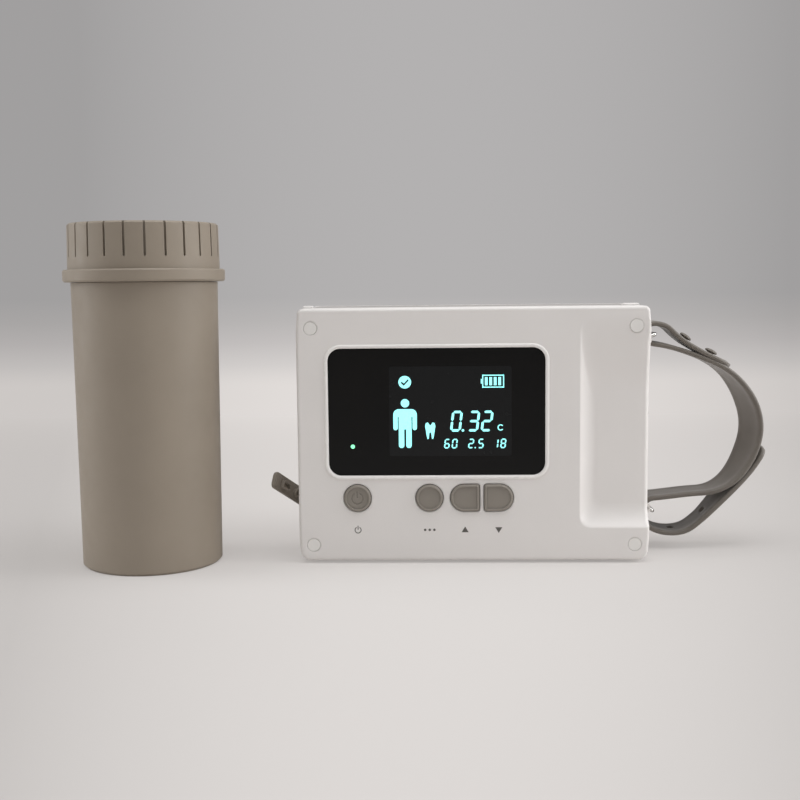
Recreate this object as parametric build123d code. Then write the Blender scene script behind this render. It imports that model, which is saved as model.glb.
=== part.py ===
# Portable x-ray unit with its beam cone standing beside it, in millimetres.
# X runs to the operator's right, Y away from the operator and Z up.
# The unit's face is at Y = 0, its middle at X = 0 and the table at Z = 0 until the whole set is centred.
from build123d import *
import math
import os

# Body of the unit
body_width = 167.0
body_height = 120.8
body_depth = 76.0
foot_stand = 1.2
wall = 2.4
cover_depth = 9.0
tongue_depth = 1.8
tongue_gap = 0.1
corner_drop = 0.9
corner_run = 11.0
ease_radius = 90.0
top_corner_radius = 2.6
bottom_corner_radius = 5.0
face_edge_radius = 1.5
back_edge_radius = 2.4

# Window and display
window_width = 102.6
window_height = 60.6
window_corner = 6.0
window_glass = 1.5
window_sink = 0.8
window_bevel = 1.7
window_seat = 3.1
window_seat_depth = 1.7
window_inset = 14.9
window_bottom = 41.3
glass_gap = 0.1
display_width = 70.0
display_height = 50.4
display_thick = 4.0
display_shift = 6.2
face_gap = 0.05

# Buttons
button_radius = 6.45
button_gap = 0.3
button_proud = 0.9
button_travel = 0.6
button_rise = 30.5
flange_extra = 0.9
flange_thick = 1.0
stem_radius = 2.0
stem_length = 2.5
dish_depth = 0.35
dish_rim = 1.1
power_inset = 28.3
mode_inset = 62.6
up_inset = 72.6
down_inset = 88.6
half_button_width = 13.8
half_button_corner = 1.2

# Grip scoop in the cover
grip_width = 33.0
grip_depth = 5.2
grip_floor = 2.2
grip_bottom = 16.0
grip_top_drop = 5.3
grip_side_run = 7.5
grip_bottom_run = 10.5
grip_top_run = 35.0
grip_corner = 5.5
grip_overhang = 6.0
# Rows of the scoop's slope as shares: depth, way in from the left and bottom rims, way down from the top rim
grip_slope = [
    (-0.05, -0.10, -0.10), (0.03, 0.0, 0.07), (0.13, 0.06, 0.20), (0.36, 0.19, 0.39),
    (0.64, 0.39, 0.60), (0.86, 0.62, 0.78), (0.96, 0.80, 0.89), (1.0, 1.0, 1.0),
]
grip_backing_start = 0.6
grip_backing_run = 0.75
lip_radius = 2.4
lip_end_radius = 1.3
lip_ease = 3.0
lip_overlap = 0.06

# Corner screws, caps and inserts
screw_inset_x = 7.0
screw_drop = 9.25
screw_rise = 7.75
boss_radius = 5.0
boss_reach = 25.0
cap_radius = 3.1
cap_gap = 0.06
cap_sink = 0.05
screw_seat = 7.4
screw_head_radius = 2.75
screw_head_height = 2.4
screw_radius = 1.5
screw_length = 24.0
screw_clearance = 0.15
insert_radius = 2.3
insert_length = 8.0

# Control board and what it carries
board_y = 11.0
board_thick = 1.6
board_inset_left = 13.0
board_width = 102.5
board_rise = 19.8
board_height = 82.6
board_inset = 4.0
post_radius = 3.0
small_screw_radius = 1.0
small_head_radius = 1.9
small_head_height = 1.3
small_screw_length = 7.0
switch_size = 6.0
switch_height = 3.5
plunger_radius = 1.7
light_inset = 26.3
light_rise = 55.4
light_radius = 1.25
led_height = 2.0
bracket_wall = 1.6
buzzer_radius = 6.0
buzzer_height = 5.0
buzzer_inset = 13.0

# Raised rests at the front corners of the top, and the panel behind them
rest_height = 1.1
rest_front = 12.0
rest_length = 6.0
left_rest_inset = 2.3
left_rest_width = 4.6
right_rest_inset = 3.9
right_rest_width = 7.5
panel_sink = 0.9
panel_thick = 0.7
panel_side_inset = 4.5
panel_back_inset = 6.0
panel_clear = 1.5
panel_gap = 0.15
panel_corner = 2.0

# Feet
foot_radius = 5.0
foot_seat = 0.8
foot_inset_x = 15.5
foot_inset_y = 14.0

# Port pocket, jacks and flap
hinge_y = 42.0
hinge_rise = 21.35
flap_length = 33.0
flap_width = 8.5
flap_thick = 1.8
flap_neck = 2.4
flap_neck_width = 2.8
flap_root = 0.9
flap_lip = 0.5
flap_lip_length = 4.5
flap_open_angle = 38.6
flap_axis = Vector(-0.745, 0.084, -0.664)
flap_gap = 0.1
plug_length = 1.4
plug_wall = 0.9
jack_ring_radius = 2.2
lip_inset = 0.6
relief_depth = 0.7
relief_slip = 0.8
usb_reach = 23.5
jack_reach = 12.5
usb_plug_length = 7.0
plug_height = 4.0
pocket_depth = 1.7
pocket_margin = 1.0
pocket_below = 3.0
pocket_above = 4.0
tether_length = 5.0
tether_width = 5.0
tether_seat = 3.0
tether_lip = 0.5
usb_width = 9.0
usb_height = 3.2
usb_depth = 7.4
usb_wall = 0.35
jack_size = 6.6
jack_depth = 9.0
jack_bore = 1.7
jack_pin = 0.6
port_board_thick = 1.2
port_board_margin = 3.0
port_post_width = 3.0

# Strap rings and their ears
ring_wire = 0.9
ring_y = 37.0
ring_half_width = 11.9
ring_arm = 4.63
ring_pin_length = 3.0
ring_pivot_x = 2.1
upper_ring_drop = 16.3
upper_ring_tilt = 24.0
lower_ring_rise = 21.15
lower_ring_tilt = -31.0
ear_length = 3.5
ear_half_height = 2.2
ear_gap = 0.4
ear_bore_gap = 0.08

# Hand strap: the route's corners, out from the side wall and up, chosen by hand along the photographed band
strap_width = 20.0
strap_thick = 2.4
strap_swing = 5.0
upper_tail = [(44.5, 91.8), (26.0, 102.3), (17.7, 107.1)]
upper_turn = [(12.3, 112.6), (2.5, 113.9), (2.5, 103.0), (15.5, 100.9)]
strap_arch = [
    (34.0, 93.9), (46.0, 87.2), (55.5, 78.1), (61.9, 67.4), (61.3, 56.4), (53.8, 43.5),
    (46.0, 33.7), (37.5, 27.6), (26.5, 27.1),
]
lower_turn = [(13.5, 28.4), (2.5, 26.4), (2.5, 12.5)]
lower_slots = [(13.0, 8.8), (24.0, 10.1), (31.1, 15.3)]
lower_tail = [(38.3, 22.8), (51.1, 34.6), (58.5, 44.9), (61.9, 51.7)]
strap_fill = 0.45
stud_radius = 2.6
stud_head = 1.3
stud_shank = 1.4
stud_gap = 0.15
slot_length = 4.0
slot_height = 1.8

# Beam axis, socket, window and filter
socket_radius = 33.2
socket_length = 15.0
socket_wall = 6.0
socket_flange_radius = 35.6
socket_flange = 3.0
slot_count = 3
slot_turn = -3.0
bayonet_width = 7.0
bayonet_depth = 1.9
bayonet_height = 3.0
bayonet_rise = 8.0
bayonet_turn = 28.0
beam_window_radius = 26.0
beam_window_thick = 2.0
beam_window_step = 1.2
beam_window_step_y = 0.5
beam_hole_radius = 24.0
filter_radius = 14.0
filter_thick = 1.5
socket_screw_radius = 30.2
socket_screw_sink = 6.0

# Tube tank and its contents
tank_half_width = 35.0
tank_half_height = 27.0
tank_depth = 37.6
tank_standoff = 6.0
tank_wall = 3.0
tank_lid = 3.0
tank_port_radius = 9.0
tank_lug = 7.0
tube_radius = 11.0
tube_length = 50.0
tube_wall = 1.2
tube_neck = 4.0
anode_radius = 5.0
anode_length = 30.0
anode_tilt = 20.0
cathode_radius = 6.0
cathode_length = 9.0
shield_gap = 0.4
shield_wall = 1.5
shield_port = 7.0
tube_carrier = 5.0

# Power board, trigger and battery
power_board_back = 21.6
power_board_inset = 7.5
power_board_gap = 2.3
power_board_rise = 16.8
power_board_height = 82.6
transformer_size = 24.0
transformer_height = 26.0
transformer_depth = 18.0
transformer_inset = 7.0
capacitor_radius = 6.3
capacitor_depth = 22.0
capacitor_pitch = 17.0
capacitor_inset = 13.0
capacitor_rise = 14.0
trigger_inset = 21.5
trigger_rise = 82.5
trigger_width = 14.0
trigger_height = 26.0
trigger_proud = 2.2
trigger_travel = 1.2
trigger_gap = 0.35
trigger_edge = 0.9
trigger_stem = 3.0
trigger_switch_height = 7.0
cell_radius = 9.2
cell_length = 65.0
cell_inset = 17.5
cell_gap = 0.8
cell_lift = 2.0
cell_front = 16.0
cradle_saddle = 6.0

# Beam cone
cone_gap = 34.85
cone_y = 8.1
cone_tip_radius = 33.3
cone_root_radius = 34.3
cone_bore = 30.0
cone_height = 135.3
cone_tip_edge = 1.2
neck_radius = 31.6
neck_height = 7.2
ring_height = 27.2
ring_radius = 35.2
flange_radius = 37.9
flange_height = 5.8
ring_bore = 33.5
ring_lip_height = 6.6
ring_run = 0.09
notch_count = 24
notch_width = 1.0
notch_depth = 1.3
notch_length = 15.8
retainer_height = 3.2
lug_width = 5.6
lug_height = 2.4
lug_depth = 1.5
lug_drop = 5.0
liner_wall = 0.8
liner_gap = 0.05

# Derived places
bottom_z = foot_stand
top_z = foot_stand + body_height
left_x = -body_width / 2
right_x = body_width / 2
window_x = left_x + window_inset + window_width / 2
window_z = bottom_z + window_bottom + window_height / 2
glass_back = window_sink + window_glass
seat_back = glass_back + window_seat_depth
display_x = window_x + display_shift
button_z = bottom_z + button_rise
power_x = left_x + power_inset
mode_x = left_x + mode_inset
up_left = left_x + up_inset
down_left = left_x + down_inset
grip_left = right_x - grip_width
board_left = left_x + board_inset_left
board_right = board_left + board_width
board_bottom = bottom_z + board_rise
board_top = board_bottom + board_height
light_x = left_x + light_inset
left_rest_outer = left_x + left_rest_inset
right_rest_outer = right_x - right_rest_inset
rest_back = rest_front + rest_length
panel_front = rest_back + panel_clear
panel_back = body_depth - panel_back_inset
screw_places = [(x, z) for x in (left_x + screw_inset_x, right_x - screw_inset_x)
                for z in (bottom_z + screw_rise, top_z - screw_drop)]
beam_x = window_x
beam_z = window_z
back_wall_y = body_depth - wall
tank_back = back_wall_y - tank_standoff
tank_front = tank_back - tank_depth
power_board_y = back_wall_y - power_board_back
power_board_right = right_x - power_board_inset
power_board_left = beam_x + tank_half_width + tank_lug + power_board_gap
capacitor_columns = int((power_board_right - power_board_left - capacitor_inset) / capacitor_pitch)
power_board_bottom = bottom_z + power_board_rise
power_board_top = power_board_bottom + power_board_height
trigger_x = right_x - trigger_inset
cell_left = left_x + cell_inset
cell_pitch = 2 * cell_radius + cell_gap
cell_count = int((back_wall_y - cell_front + cell_gap) / cell_pitch)
hinge_point = Vector(left_x - flap_gap, hinge_y, bottom_z + hinge_rise)
pocket_z = bottom_z + hinge_rise
cone_x = left_x - cone_gap - flange_radius
ring_base_z = cone_height + 0.2
upper_ring_z = top_z - upper_ring_drop
lower_ring_z = bottom_z + lower_ring_rise
ring_pivot = right_x + ring_pivot_x
trigger_z = bottom_z + trigger_rise
strap_route = upper_tail + upper_turn + strap_arch + lower_turn + lower_slots + lower_tail
strap_rows = [(right_x + x, z) for x, z in strap_route]
slot_start = len(strap_rows) - len(lower_tail) - len(lower_slots)
slot_runs = [slot_start, slot_start + len(lower_slots) - 1]
stud_runs = [0, 1, len(strap_rows) - len(lower_tail), len(strap_rows) - len(lower_tail) + 1]


def block(x0, x1, y0, y1, z0, z1):
    """A box between two corners."""
    return Pos((x0 + x1) / 2, (y0 + y1) / 2, (z0 + z1) / 2) * Box(x1 - x0, y1 - y0, z1 - z0)


def rod_y(radius, y0, y1, x, z):
    """A round bar along Y."""
    return Pos(x, (y0 + y1) / 2, z) * Rot(90, 0, 0) * Cylinder(radius, y1 - y0)


def rod_x(radius, x0, x1, y, z):
    """A round bar along X."""
    return Pos((x0 + x1) / 2, y, z) * Rot(0, 90, 0) * Cylinder(radius, x1 - x0)


def rod_z(radius, z0, z1, x, y):
    """A round bar along Z."""
    return Pos(x, y, (z0 + z1) / 2) * Cylinder(radius, z1 - z0)


def slab(outline, y0, y1):
    """An outline drawn in X and Z, carried from y0 back to y1."""
    return extrude(Plane.XZ.offset(-y0) * outline, amount=-(y1 - y0))


def rounded(width, height, radius, x, z):
    """A rounded rectangle in X and Z."""
    return Pos(x, z) * RectangleRounded(width, height, radius)


def body_outline(inset=0.0):
    """The face outline: straight sides that ease in towards the corners."""
    side = body_width / 2 - inset
    end = side - corner_drop
    low = bottom_z + inset
    high = top_z - inset
    corners = [
        (-end, low), (end, low), (side, low + corner_run), (side, high - corner_run),
        (end, high), (-end, high), (-side, high - corner_run), (-side, low + corner_run),
    ]
    radii = [
        max(bottom_corner_radius - inset, 0.6), max(bottom_corner_radius - inset, 0.6),
        ease_radius, ease_radius,
        max(top_corner_radius - inset, 0.6), max(top_corner_radius - inset, 0.6),
        ease_radius, ease_radius,
    ]
    face = make_face(Polyline(*corners, close=True))
    for corner, radius in zip(corners, radii):
        vertex = face.vertices().sort_by_distance((corner[0], corner[1], 0))[0]
        face = fillet(vertex, radius)
    return face


def grip_limits(bowl, ramp):
    """Left, lower and upper limits of the scoop a share of the way down its slopes."""
    return (grip_left + grip_side_run * bowl, bottom_z + grip_bottom + grip_bottom_run * bowl,
            top_z - grip_top_drop - grip_top_run * ramp)


def grip_section(y, bowl, ramp, grow=0.0):
    """The scoop's outline at one depth, open to the right; grow makes it larger all round."""
    x0, z0, z1 = grip_limits(bowl, ramp)
    x0 -= grow
    x1 = right_x + grip_overhang
    z0 -= grow
    z1 += grow
    plain = Pos((x0 + x1) / 2, (z0 + z1) / 2) * Rectangle(x1 - x0, z1 - z0)
    outline = fillet(plain.vertices().group_by(Axis.X)[0], grip_corner)
    return (Plane.XZ.offset(-y) * outline).faces()[0]


def grip_hollow():
    """The thumb scoop: a tight rim and a bowl at the left and bottom, a long soft slope from the top."""
    return loft([grip_section(grip_depth * depth, bowl, ramp) for depth, bowl, ramp in grip_slope])


def grip_backing():
    """The thickening behind the scoop."""
    near = grip_backing_start / grip_depth * grip_backing_run
    return loft([grip_section(grip_backing_start, near, near, grip_floor),
                 grip_section(grip_depth + grip_floor, grip_backing_run, grip_backing_run, grip_floor)])


def lip_section(z, y, share):
    """What is cut off the side wall's front edge at one height, outside the lip's round."""
    radius = lip_end_radius + (lip_radius - lip_end_radius) * share
    x_mid = right_x - radius + lip_overlap
    y_mid = y + radius - lip_overlap
    reach = radius * math.sqrt(0.5)
    top = (x_mid, y_mid - radius)
    side = (x_mid + radius, y_mid)
    arc = ThreePointArc(side, (x_mid + reach, y_mid - reach), top)
    rest = Polyline(top, (top[0], top[1] - lip_radius), (right_x + lip_radius, top[1] - lip_radius),
                    (right_x + lip_radius, y_mid), side)
    return (Pos(0, 0, z) * make_face(Curve() + [arc, rest])).faces()[0]


def grip_lip():
    """The cutter that rounds the side wall's edge along the open side of the scoop."""
    rows = [(grip_depth * depth, min(lip_ease * max(depth, 0.0), 1.0), grip_limits(bowl, ramp))
            for depth, bowl, ramp in grip_slope]
    upward = [lip_section(limits[1], y, share) for y, share, limits in rows]
    downward = [lip_section(limits[2], y, share) for y, share, limits in rows]
    return loft(upward + downward[::-1], ruled=True)


def d_outline(left, round_left, grow=0.0):
    """A half button: one round end and one straight end with small corners."""
    radius = button_radius + grow
    width = half_button_width + 2 * grow
    face = Pos(left - grow + width / 2, button_z) * Rectangle(width, 2 * radius)
    ends = face.vertices().group_by(Axis.X)
    straight = ends[-1] if round_left else ends[0]
    face = fillet(straight, half_button_corner + grow)
    rounded_end = face.vertices().group_by(Axis.X)[0 if round_left else -1]
    return fillet(rounded_end, radius - 0.02)


def round_outline(x, grow=0.0):
    """A round button's outline."""
    return Pos(x, button_z) * Circle(button_radius + grow)


button_outlines = {
    "power_button": lambda grow=0.0: round_outline(power_x, grow),
    "mode_button": lambda grow=0.0: round_outline(mode_x, grow),
    "up_button": lambda grow=0.0: d_outline(up_left, True, grow),
    "down_button": lambda grow=0.0: d_outline(down_left, False, grow),
}
button_centres = {
    "power_button": power_x,
    "mode_button": mode_x,
    "up_button": up_left + half_button_width / 2,
    "down_button": down_left + half_button_width / 2,
}


def board_holes():
    """Places of the control board's four screws."""
    return [(x, z) for x in (board_left + board_inset, board_right - board_inset)
            for z in (board_bottom + board_inset, board_top - board_inset)]


def make_operator_cover():
    """The face: a shallow tray with window seat, button holes, thumb scoop, bosses and board posts."""
    solid = slab(body_outline(), 0, cover_depth)
    solid = fillet(solid.faces().sort_by(Axis.Y)[0].edges(), face_edge_radius)
    cover = solid - slab(body_outline(wall), wall, cover_depth)
    tongue = slab(body_outline(wall / 2 + tongue_gap), cover_depth, cover_depth + tongue_depth)
    cover += tongue - slab(body_outline(wall), cover_depth, cover_depth + tongue_depth)
    seat = rounded(window_width + 2 * window_seat, window_height + 2 * window_seat,
                   window_corner + window_seat, window_x, window_z)
    cover += slab(seat, wall - 0.2, seat_back)
    cover += grip_backing() & slab(body_outline(0.4), grip_backing_start, cover_depth)
    for x, z in screw_places:
        cover += rod_y(boss_radius, wall - 0.2, cover_depth, x, z) & slab(body_outline(0.4), 0, cover_depth)
    for x, z in board_holes():
        cover += rod_y(post_radius, wall - 0.2, board_y, x, z)
    opening = rounded(window_width - 2 * window_seat, window_height - 2 * window_seat,
                      window_corner - 2, window_x, window_z)
    pane = rounded(window_width + 2 * glass_gap, window_height + 2 * glass_gap, window_corner,
                   window_x, window_z)
    rim = rounded(window_width + 2 * window_bevel, window_height + 2 * window_bevel,
                  window_corner + window_bevel, window_x, window_z)
    cover -= loft([(Plane.XZ * rim).faces()[0], (Plane.XZ.offset(-window_sink) * pane).faces()[0]])
    cover -= slab(pane, window_sink, glass_back)
    cover -= slab(opening, 0, seat_back)
    for outline in button_outlines.values():
        cover -= slab(outline(button_gap), -1, wall + 0.5)
    cover -= grip_hollow()
    cover -= grip_lip()
    for x, z in screw_places:
        cover -= rod_y(cap_radius + cap_gap, -1, screw_seat, x, z)
        cover -= rod_y(screw_radius + screw_clearance, screw_seat, cover_depth + tongue_depth, x, z)
    for x, z in board_holes():
        cover -= rod_y(small_screw_radius, board_y - small_screw_length + board_thick, board_y, x, z)
    return cover


def make_main_housing():
    """The rest of the casing: an open box with the beam opening, pocket, bosses, top rests and foot seats."""
    outer = slab(body_outline(), cover_depth + face_gap, body_depth)
    outer = fillet(outer.faces().sort_by(Axis.Y)[-1].edges(), back_edge_radius)
    rests = [(left_rest_outer, left_rest_outer + left_rest_width),
             (right_rest_outer - right_rest_width, right_rest_outer)]
    for x0, x1 in rests:
        rest = block(x0, x1, rest_front, rest_back, top_z - 0.5, top_z + rest_height)
        outer += fillet(rest.faces().sort_by(Axis.Z)[-1].edges(), rest_height * 0.6)
    housing = outer - slab(body_outline(wall), cover_depth, back_wall_y)
    housing -= slab(body_outline(wall / 2), cover_depth, cover_depth + tongue_depth + tongue_gap)
    inside = slab(body_outline(0.4), cover_depth, body_depth - 1)
    boss_front = cover_depth + tongue_depth + 2 * tongue_gap
    for x, z in screw_places:
        side = 1 if x > 0 else -1
        web = block(min(x, x + side * boss_radius), max(x, x + side * boss_radius),
                    boss_front, boss_front + boss_reach, z - boss_radius / 2, z + boss_radius / 2)
        housing += (rod_y(boss_radius, boss_front, boss_front + boss_reach, x, z) + web) & inside
    pocket_wall = block(left_x + 0.4, left_x + pocket_depth + wall, boss_front, hinge_y + tether_length + 3,
                        pocket_z - 6.5, pocket_z + 7)
    housing += pocket_wall
    housing -= extrude(panel_outline(0.0), amount=panel_sink + 1)
    housing -= rod_y(beam_hole_radius, back_wall_y - 1, body_depth + 1, beam_x, beam_z)
    housing -= pocket_cuts()
    for x, z in screw_places:
        housing -= rod_y(insert_radius, boss_front - 0.1, boss_front + insert_length, x, z)
        housing -= rod_y(screw_radius + screw_clearance, boss_front - 0.1, boss_front + boss_reach - 4, x, z)
    housing -= slab(trigger_outline(trigger_gap), back_wall_y - 1, body_depth + 1)
    for x, y in foot_places():
        housing -= rod_z(foot_radius + 0.1, bottom_z - 1, bottom_z + foot_seat, x, y)
    for x, z in tank_screw_places():
        housing += rod_y(post_radius, tank_back, back_wall_y + 0.2, x, z)
        housing -= rod_y(small_screw_radius, tank_back - 0.1, back_wall_y - 0.5, x, z)
    for x, z in power_board_holes():
        housing += rod_y(post_radius, power_board_y + board_thick, back_wall_y + 0.2, x, z)
        housing -= rod_y(small_screw_radius, power_board_y + board_thick - 0.1,
                         power_board_y + small_screw_length + 1, x, z)
    for angle in socket_screw_angles():
        x = beam_x + socket_screw_radius * math.cos(math.radians(angle))
        z = beam_z + socket_screw_radius * math.sin(math.radians(angle))
        housing -= rod_y(small_screw_radius, back_wall_y - 1, body_depth + 1, x, z)
    return housing


def pocket_cuts():
    """The port pocket in the left wall, the two connector openings and the tether's seat."""
    front = hinge_y - usb_reach - usb_plug_length / 2 - pocket_margin
    back = hinge_y - jack_reach + plug_height + pocket_margin
    cuts = block(left_x - 1, left_x + pocket_depth, front, back,
                 pocket_z - pocket_below, pocket_z + pocket_above)
    usb_y = hinge_y - usb_reach
    jack_y = hinge_y - jack_reach
    through = left_x + pocket_depth + wall + 1
    cuts += block(left_x, through, usb_y - usb_width / 2 - face_gap, usb_y + usb_width / 2 + face_gap,
                  pocket_z - usb_height / 2 - face_gap, pocket_z + usb_height / 2 + face_gap)
    cuts += block(left_x, through, jack_y - jack_size / 2 - face_gap, jack_y + jack_size / 2 + face_gap,
                  pocket_z - pocket_below, pocket_z + pocket_above)
    cuts += block(left_x - 1, left_x + tether_seat, hinge_y + 1.5, hinge_y + 1.5 + tether_length - face_gap,
                  pocket_z - tether_width / 2 - face_gap, pocket_z + tether_width / 2 + face_gap)
    lip_front = hinge_y - flap_length + lip_inset
    lip_half = flap_width / 2 - lip_inset
    cuts += block(left_x - 1, left_x + relief_depth,
                  lip_front - relief_slip, lip_front + flap_lip_length + relief_slip,
                  pocket_z - lip_half - relief_slip / 2, pocket_z + lip_half + 1.6 * relief_slip)
    return cuts


def trigger_outline(grow=0.0):
    """The exposure trigger's outline on the beam side."""
    return rounded(trigger_width + 2 * grow, trigger_height + 2 * grow, trigger_width / 2 + grow - 0.05,
                   trigger_x, trigger_z)


def foot_places():
    """Middles of the four feet."""
    return [(x, y) for x in (left_x + foot_inset_x, right_x - foot_inset_x)
            for y in (foot_inset_y, body_depth - foot_inset_y)]


def tank_screw_places():
    """Screws through the tank's four ears."""
    reach = tank_half_width + tank_lug / 2
    rise = tank_half_height - tank_lug / 2
    return [(beam_x + sx * reach, beam_z + sz * rise) for sx in (-1, 1) for sz in (-1, 1)]


def power_board_holes():
    """Screws of the power board."""
    return [(x, z) for x in (power_board_left + board_inset, power_board_right - board_inset)
            for z in (power_board_bottom + board_inset, power_board_top - board_inset)]


def socket_screw_angles():
    """The socket's screws, each in the middle of the plain wall between two of its bayonet slots."""
    first = 90 - slot_turn + (360 / slot_count - bayonet_turn) / 2
    return [first + turn * 360 / slot_count for turn in range(slot_count)]


def small_screws(places, head_y, forward):
    """Pan-head screws along Y; forward is +1 where they point to +Y."""
    screws = []
    for x, z in places:
        head_end = head_y - forward * small_head_height
        head = rod_y(small_head_radius, min(head_y, head_end), max(head_y, head_end), x, z)
        tip = head_y + forward * small_screw_length * 0.8
        screws.append(head + rod_y(small_screw_radius - face_gap, min(head_y, tip), max(head_y, tip), x, z))
    return screws


def make_button(name):
    """A button cap with its dish, hidden flange and stem."""
    outline = button_outlines[name]
    cap = slab(outline(), -button_proud, wall + 0.1)
    cap = fillet(cap.faces().sort_by(Axis.Y)[0].edges(), 0.5)
    cap -= slab(outline(-dish_rim), -button_proud, -button_proud + dish_depth)
    cap += slab(outline(flange_extra), wall + face_gap, wall + face_gap + flange_thick)
    stem_end = wall + face_gap + flange_thick + stem_length
    cap += rod_y(stem_radius, wall, stem_end, button_centres[name], button_z)
    if name == "power_button":
        ring = Circle(2.9) - Circle(2.35) - Pos(0, 2.6) * Rectangle(2.2, 1.6)
        mark = ring + Pos(0, 1.9) * Rectangle(0.6, 3.0)
        dish_floor = -button_proud + dish_depth
        cap -= slab(Pos(power_x, button_z) * mark, dish_floor - 0.1, dish_floor + 0.25)
    return cap


def make_control_board():
    """The operator's circuit board."""
    board = block(board_left, board_right, board_y, board_y + board_thick, board_bottom, board_top)
    for x, z in board_holes():
        board -= rod_y(small_screw_radius + screw_clearance, board_y - 1, board_y + board_thick + 1, x, z)
    return board


def make_tact_switches():
    """Four low switches that the button stems press."""
    switches = []
    for x in button_centres.values():
        base = block(x - switch_size / 2, x + switch_size / 2, board_y - switch_height, board_y,
                     button_z - switch_size / 2, button_z + switch_size / 2)
        tip_y = wall + face_gap + flange_thick + stem_length + button_travel + 0.1
        switches.append(base + rod_y(plunger_radius, tip_y, board_y - 1, x, button_z))
    return switches


def make_status_light():
    """A light guide against the glass and the lamp chip on the board."""
    z = bottom_z + light_rise
    guide = rod_y(light_radius, seat_back - window_seat_depth + face_gap, board_y - led_height, light_x, z)
    lamp = block(light_x - 1.6, light_x + 1.6, board_y - led_height, board_y, z - 1.4, z + 1.4)
    return [guide, lamp]


def make_display_bracket():
    """The open frame that carries the display on the board."""
    front = glass_back + face_gap + display_thick
    outer = block(display_x - display_width / 2, display_x + display_width / 2, front, board_y,
                  window_z - display_height / 2, window_z + display_height / 2)
    inner = block(display_x - display_width / 2 + bracket_wall, display_x + display_width / 2 - bracket_wall,
                  front - 1, board_y + 1, window_z - display_height / 2 + bracket_wall,
                  window_z + display_height / 2 - bracket_wall)
    return outer - inner


def make_screws(shank_radius, head_radius, head_height, length, seat_y, places):
    """The four long screws that close the casing."""
    screws = []
    for x, z in places:
        head = rod_y(head_radius, seat_y - head_height, seat_y, x, z)
        screws.append(head + rod_y(shank_radius, seat_y, seat_y + length, x, z))
    return screws


def make_inserts():
    """Brass inserts that the long screws bite into."""
    front = cover_depth + tongue_depth + 2 * tongue_gap
    return [rod_y(insert_radius - 0.02, front, front + insert_length - 0.1, x, z)
            - rod_y(screw_radius + face_gap, front - 1, front + insert_length + 1, x, z) for x, z in screw_places]


def flap_pose(shape):
    """Swings a piece drawn in the closed flap's place to where the photograph shows it."""
    return shape.rotate(Axis(hinge_point, flap_axis), flap_open_angle)


def make_port_flap():
    """The rubber flap with its grip lip and two hollow plugs, standing open."""
    x0 = hinge_point.X - flap_thick
    x1 = hinge_point.X
    z = hinge_point.Z
    plate_y1 = hinge_y - flap_root - flap_neck
    plate = block(x0, x1, hinge_y - flap_length, plate_y1, z - flap_width / 2, z + flap_width / 2)
    plate = fillet(plate.edges().filter_by(Axis.X), 1.0)
    neck = block(x0, x0 + flap_thick * 0.6, plate_y1 - 1, hinge_y - flap_root,
                 z - flap_neck_width / 2, z + flap_neck_width / 2)
    lip = block(x1 - 0.1, x1 + flap_lip,
                hinge_y - flap_length + lip_inset, hinge_y - flap_length + flap_lip_length,
                z - flap_width / 2 + lip_inset, z + flap_width / 2 - lip_inset)
    usb_y = hinge_y - usb_reach
    usb_plug = Pos(0, usb_y, z) * Box(1, usb_plug_length, plug_height)
    usb_hole = Pos(0, usb_y, z) * Box(2, usb_plug_length - 2 * plug_wall, plug_height - 2 * plug_wall)
    usb_plug = (usb_plug - usb_hole).faces().sort_by(Axis.X)[0]
    usb_ring = extrude(Pos(x1 + 0.45, 0, 0) * usb_plug, amount=plug_length, dir=(1, 0, 0))
    jack_y = hinge_y - jack_reach
    jack_ring = rod_x(jack_ring_radius, x1 - 0.1, x1 + plug_length, jack_y, z)
    jack_ring -= rod_x(jack_ring_radius - plug_wall, x1 - 1, x1 + plug_length + 1, jack_y, z)
    return flap_pose(plate + neck + lip + usb_ring + jack_ring)


def make_flap_tether():
    """The flap's rubber root, plugged into its seat in the wall."""
    y0 = hinge_y + 1.5
    seat = block(left_x - flap_thick, left_x + tether_seat - face_gap, y0, y0 + tether_length - 2 * face_gap,
                 pocket_z - tether_width / 2, pocket_z + tether_width / 2)
    head = block(left_x - flap_gap - flap_thick, left_x - face_gap,
                 y0 - tether_lip, y0 + tether_length + tether_lip,
                 pocket_z - tether_width / 2, pocket_z + tether_width / 2)
    return seat + head


def make_usb_port():
    """A data port: a thin metal shell with a tongue."""
    y = hinge_y - usb_reach
    x0 = left_x + pocket_depth
    shell = block(x0, x0 + usb_depth, y - usb_width / 2, y + usb_width / 2,
                  pocket_z - usb_height / 2, pocket_z + usb_height / 2)
    shell = fillet(shell.edges().filter_by(Axis.X), usb_height / 2 - 0.05)
    hole = block(x0 - 1, x0 + usb_depth - 0.6, y - usb_width / 2 + usb_wall, y + usb_width / 2 - usb_wall,
                 pocket_z - usb_height / 2 + usb_wall, pocket_z + usb_height / 2 - usb_wall)
    shell -= fillet(hole.edges().filter_by(Axis.X), usb_height / 2 - usb_wall - 0.05)
    return shell + block(x0 + 0.8, x0 + usb_depth - 0.3, y - 3.2, y + 3.2, pocket_z - 0.35, pocket_z + 0.35)


def make_dc_jack():
    """The charging jack: a block with a bore and its centre pin."""
    y = hinge_y - jack_reach
    x0 = left_x + pocket_depth
    body = block(x0, x0 + jack_depth, y - jack_size / 2, y + jack_size / 2,
                 pocket_z - pocket_below + face_gap, pocket_z + pocket_above - face_gap)
    body -= rod_x(jack_bore, x0 - 1, x0 + jack_depth - 1.5, y, pocket_z)
    return body + rod_x(jack_pin, x0 + 0.8, x0 + jack_depth - 1, y, pocket_z)


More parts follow.
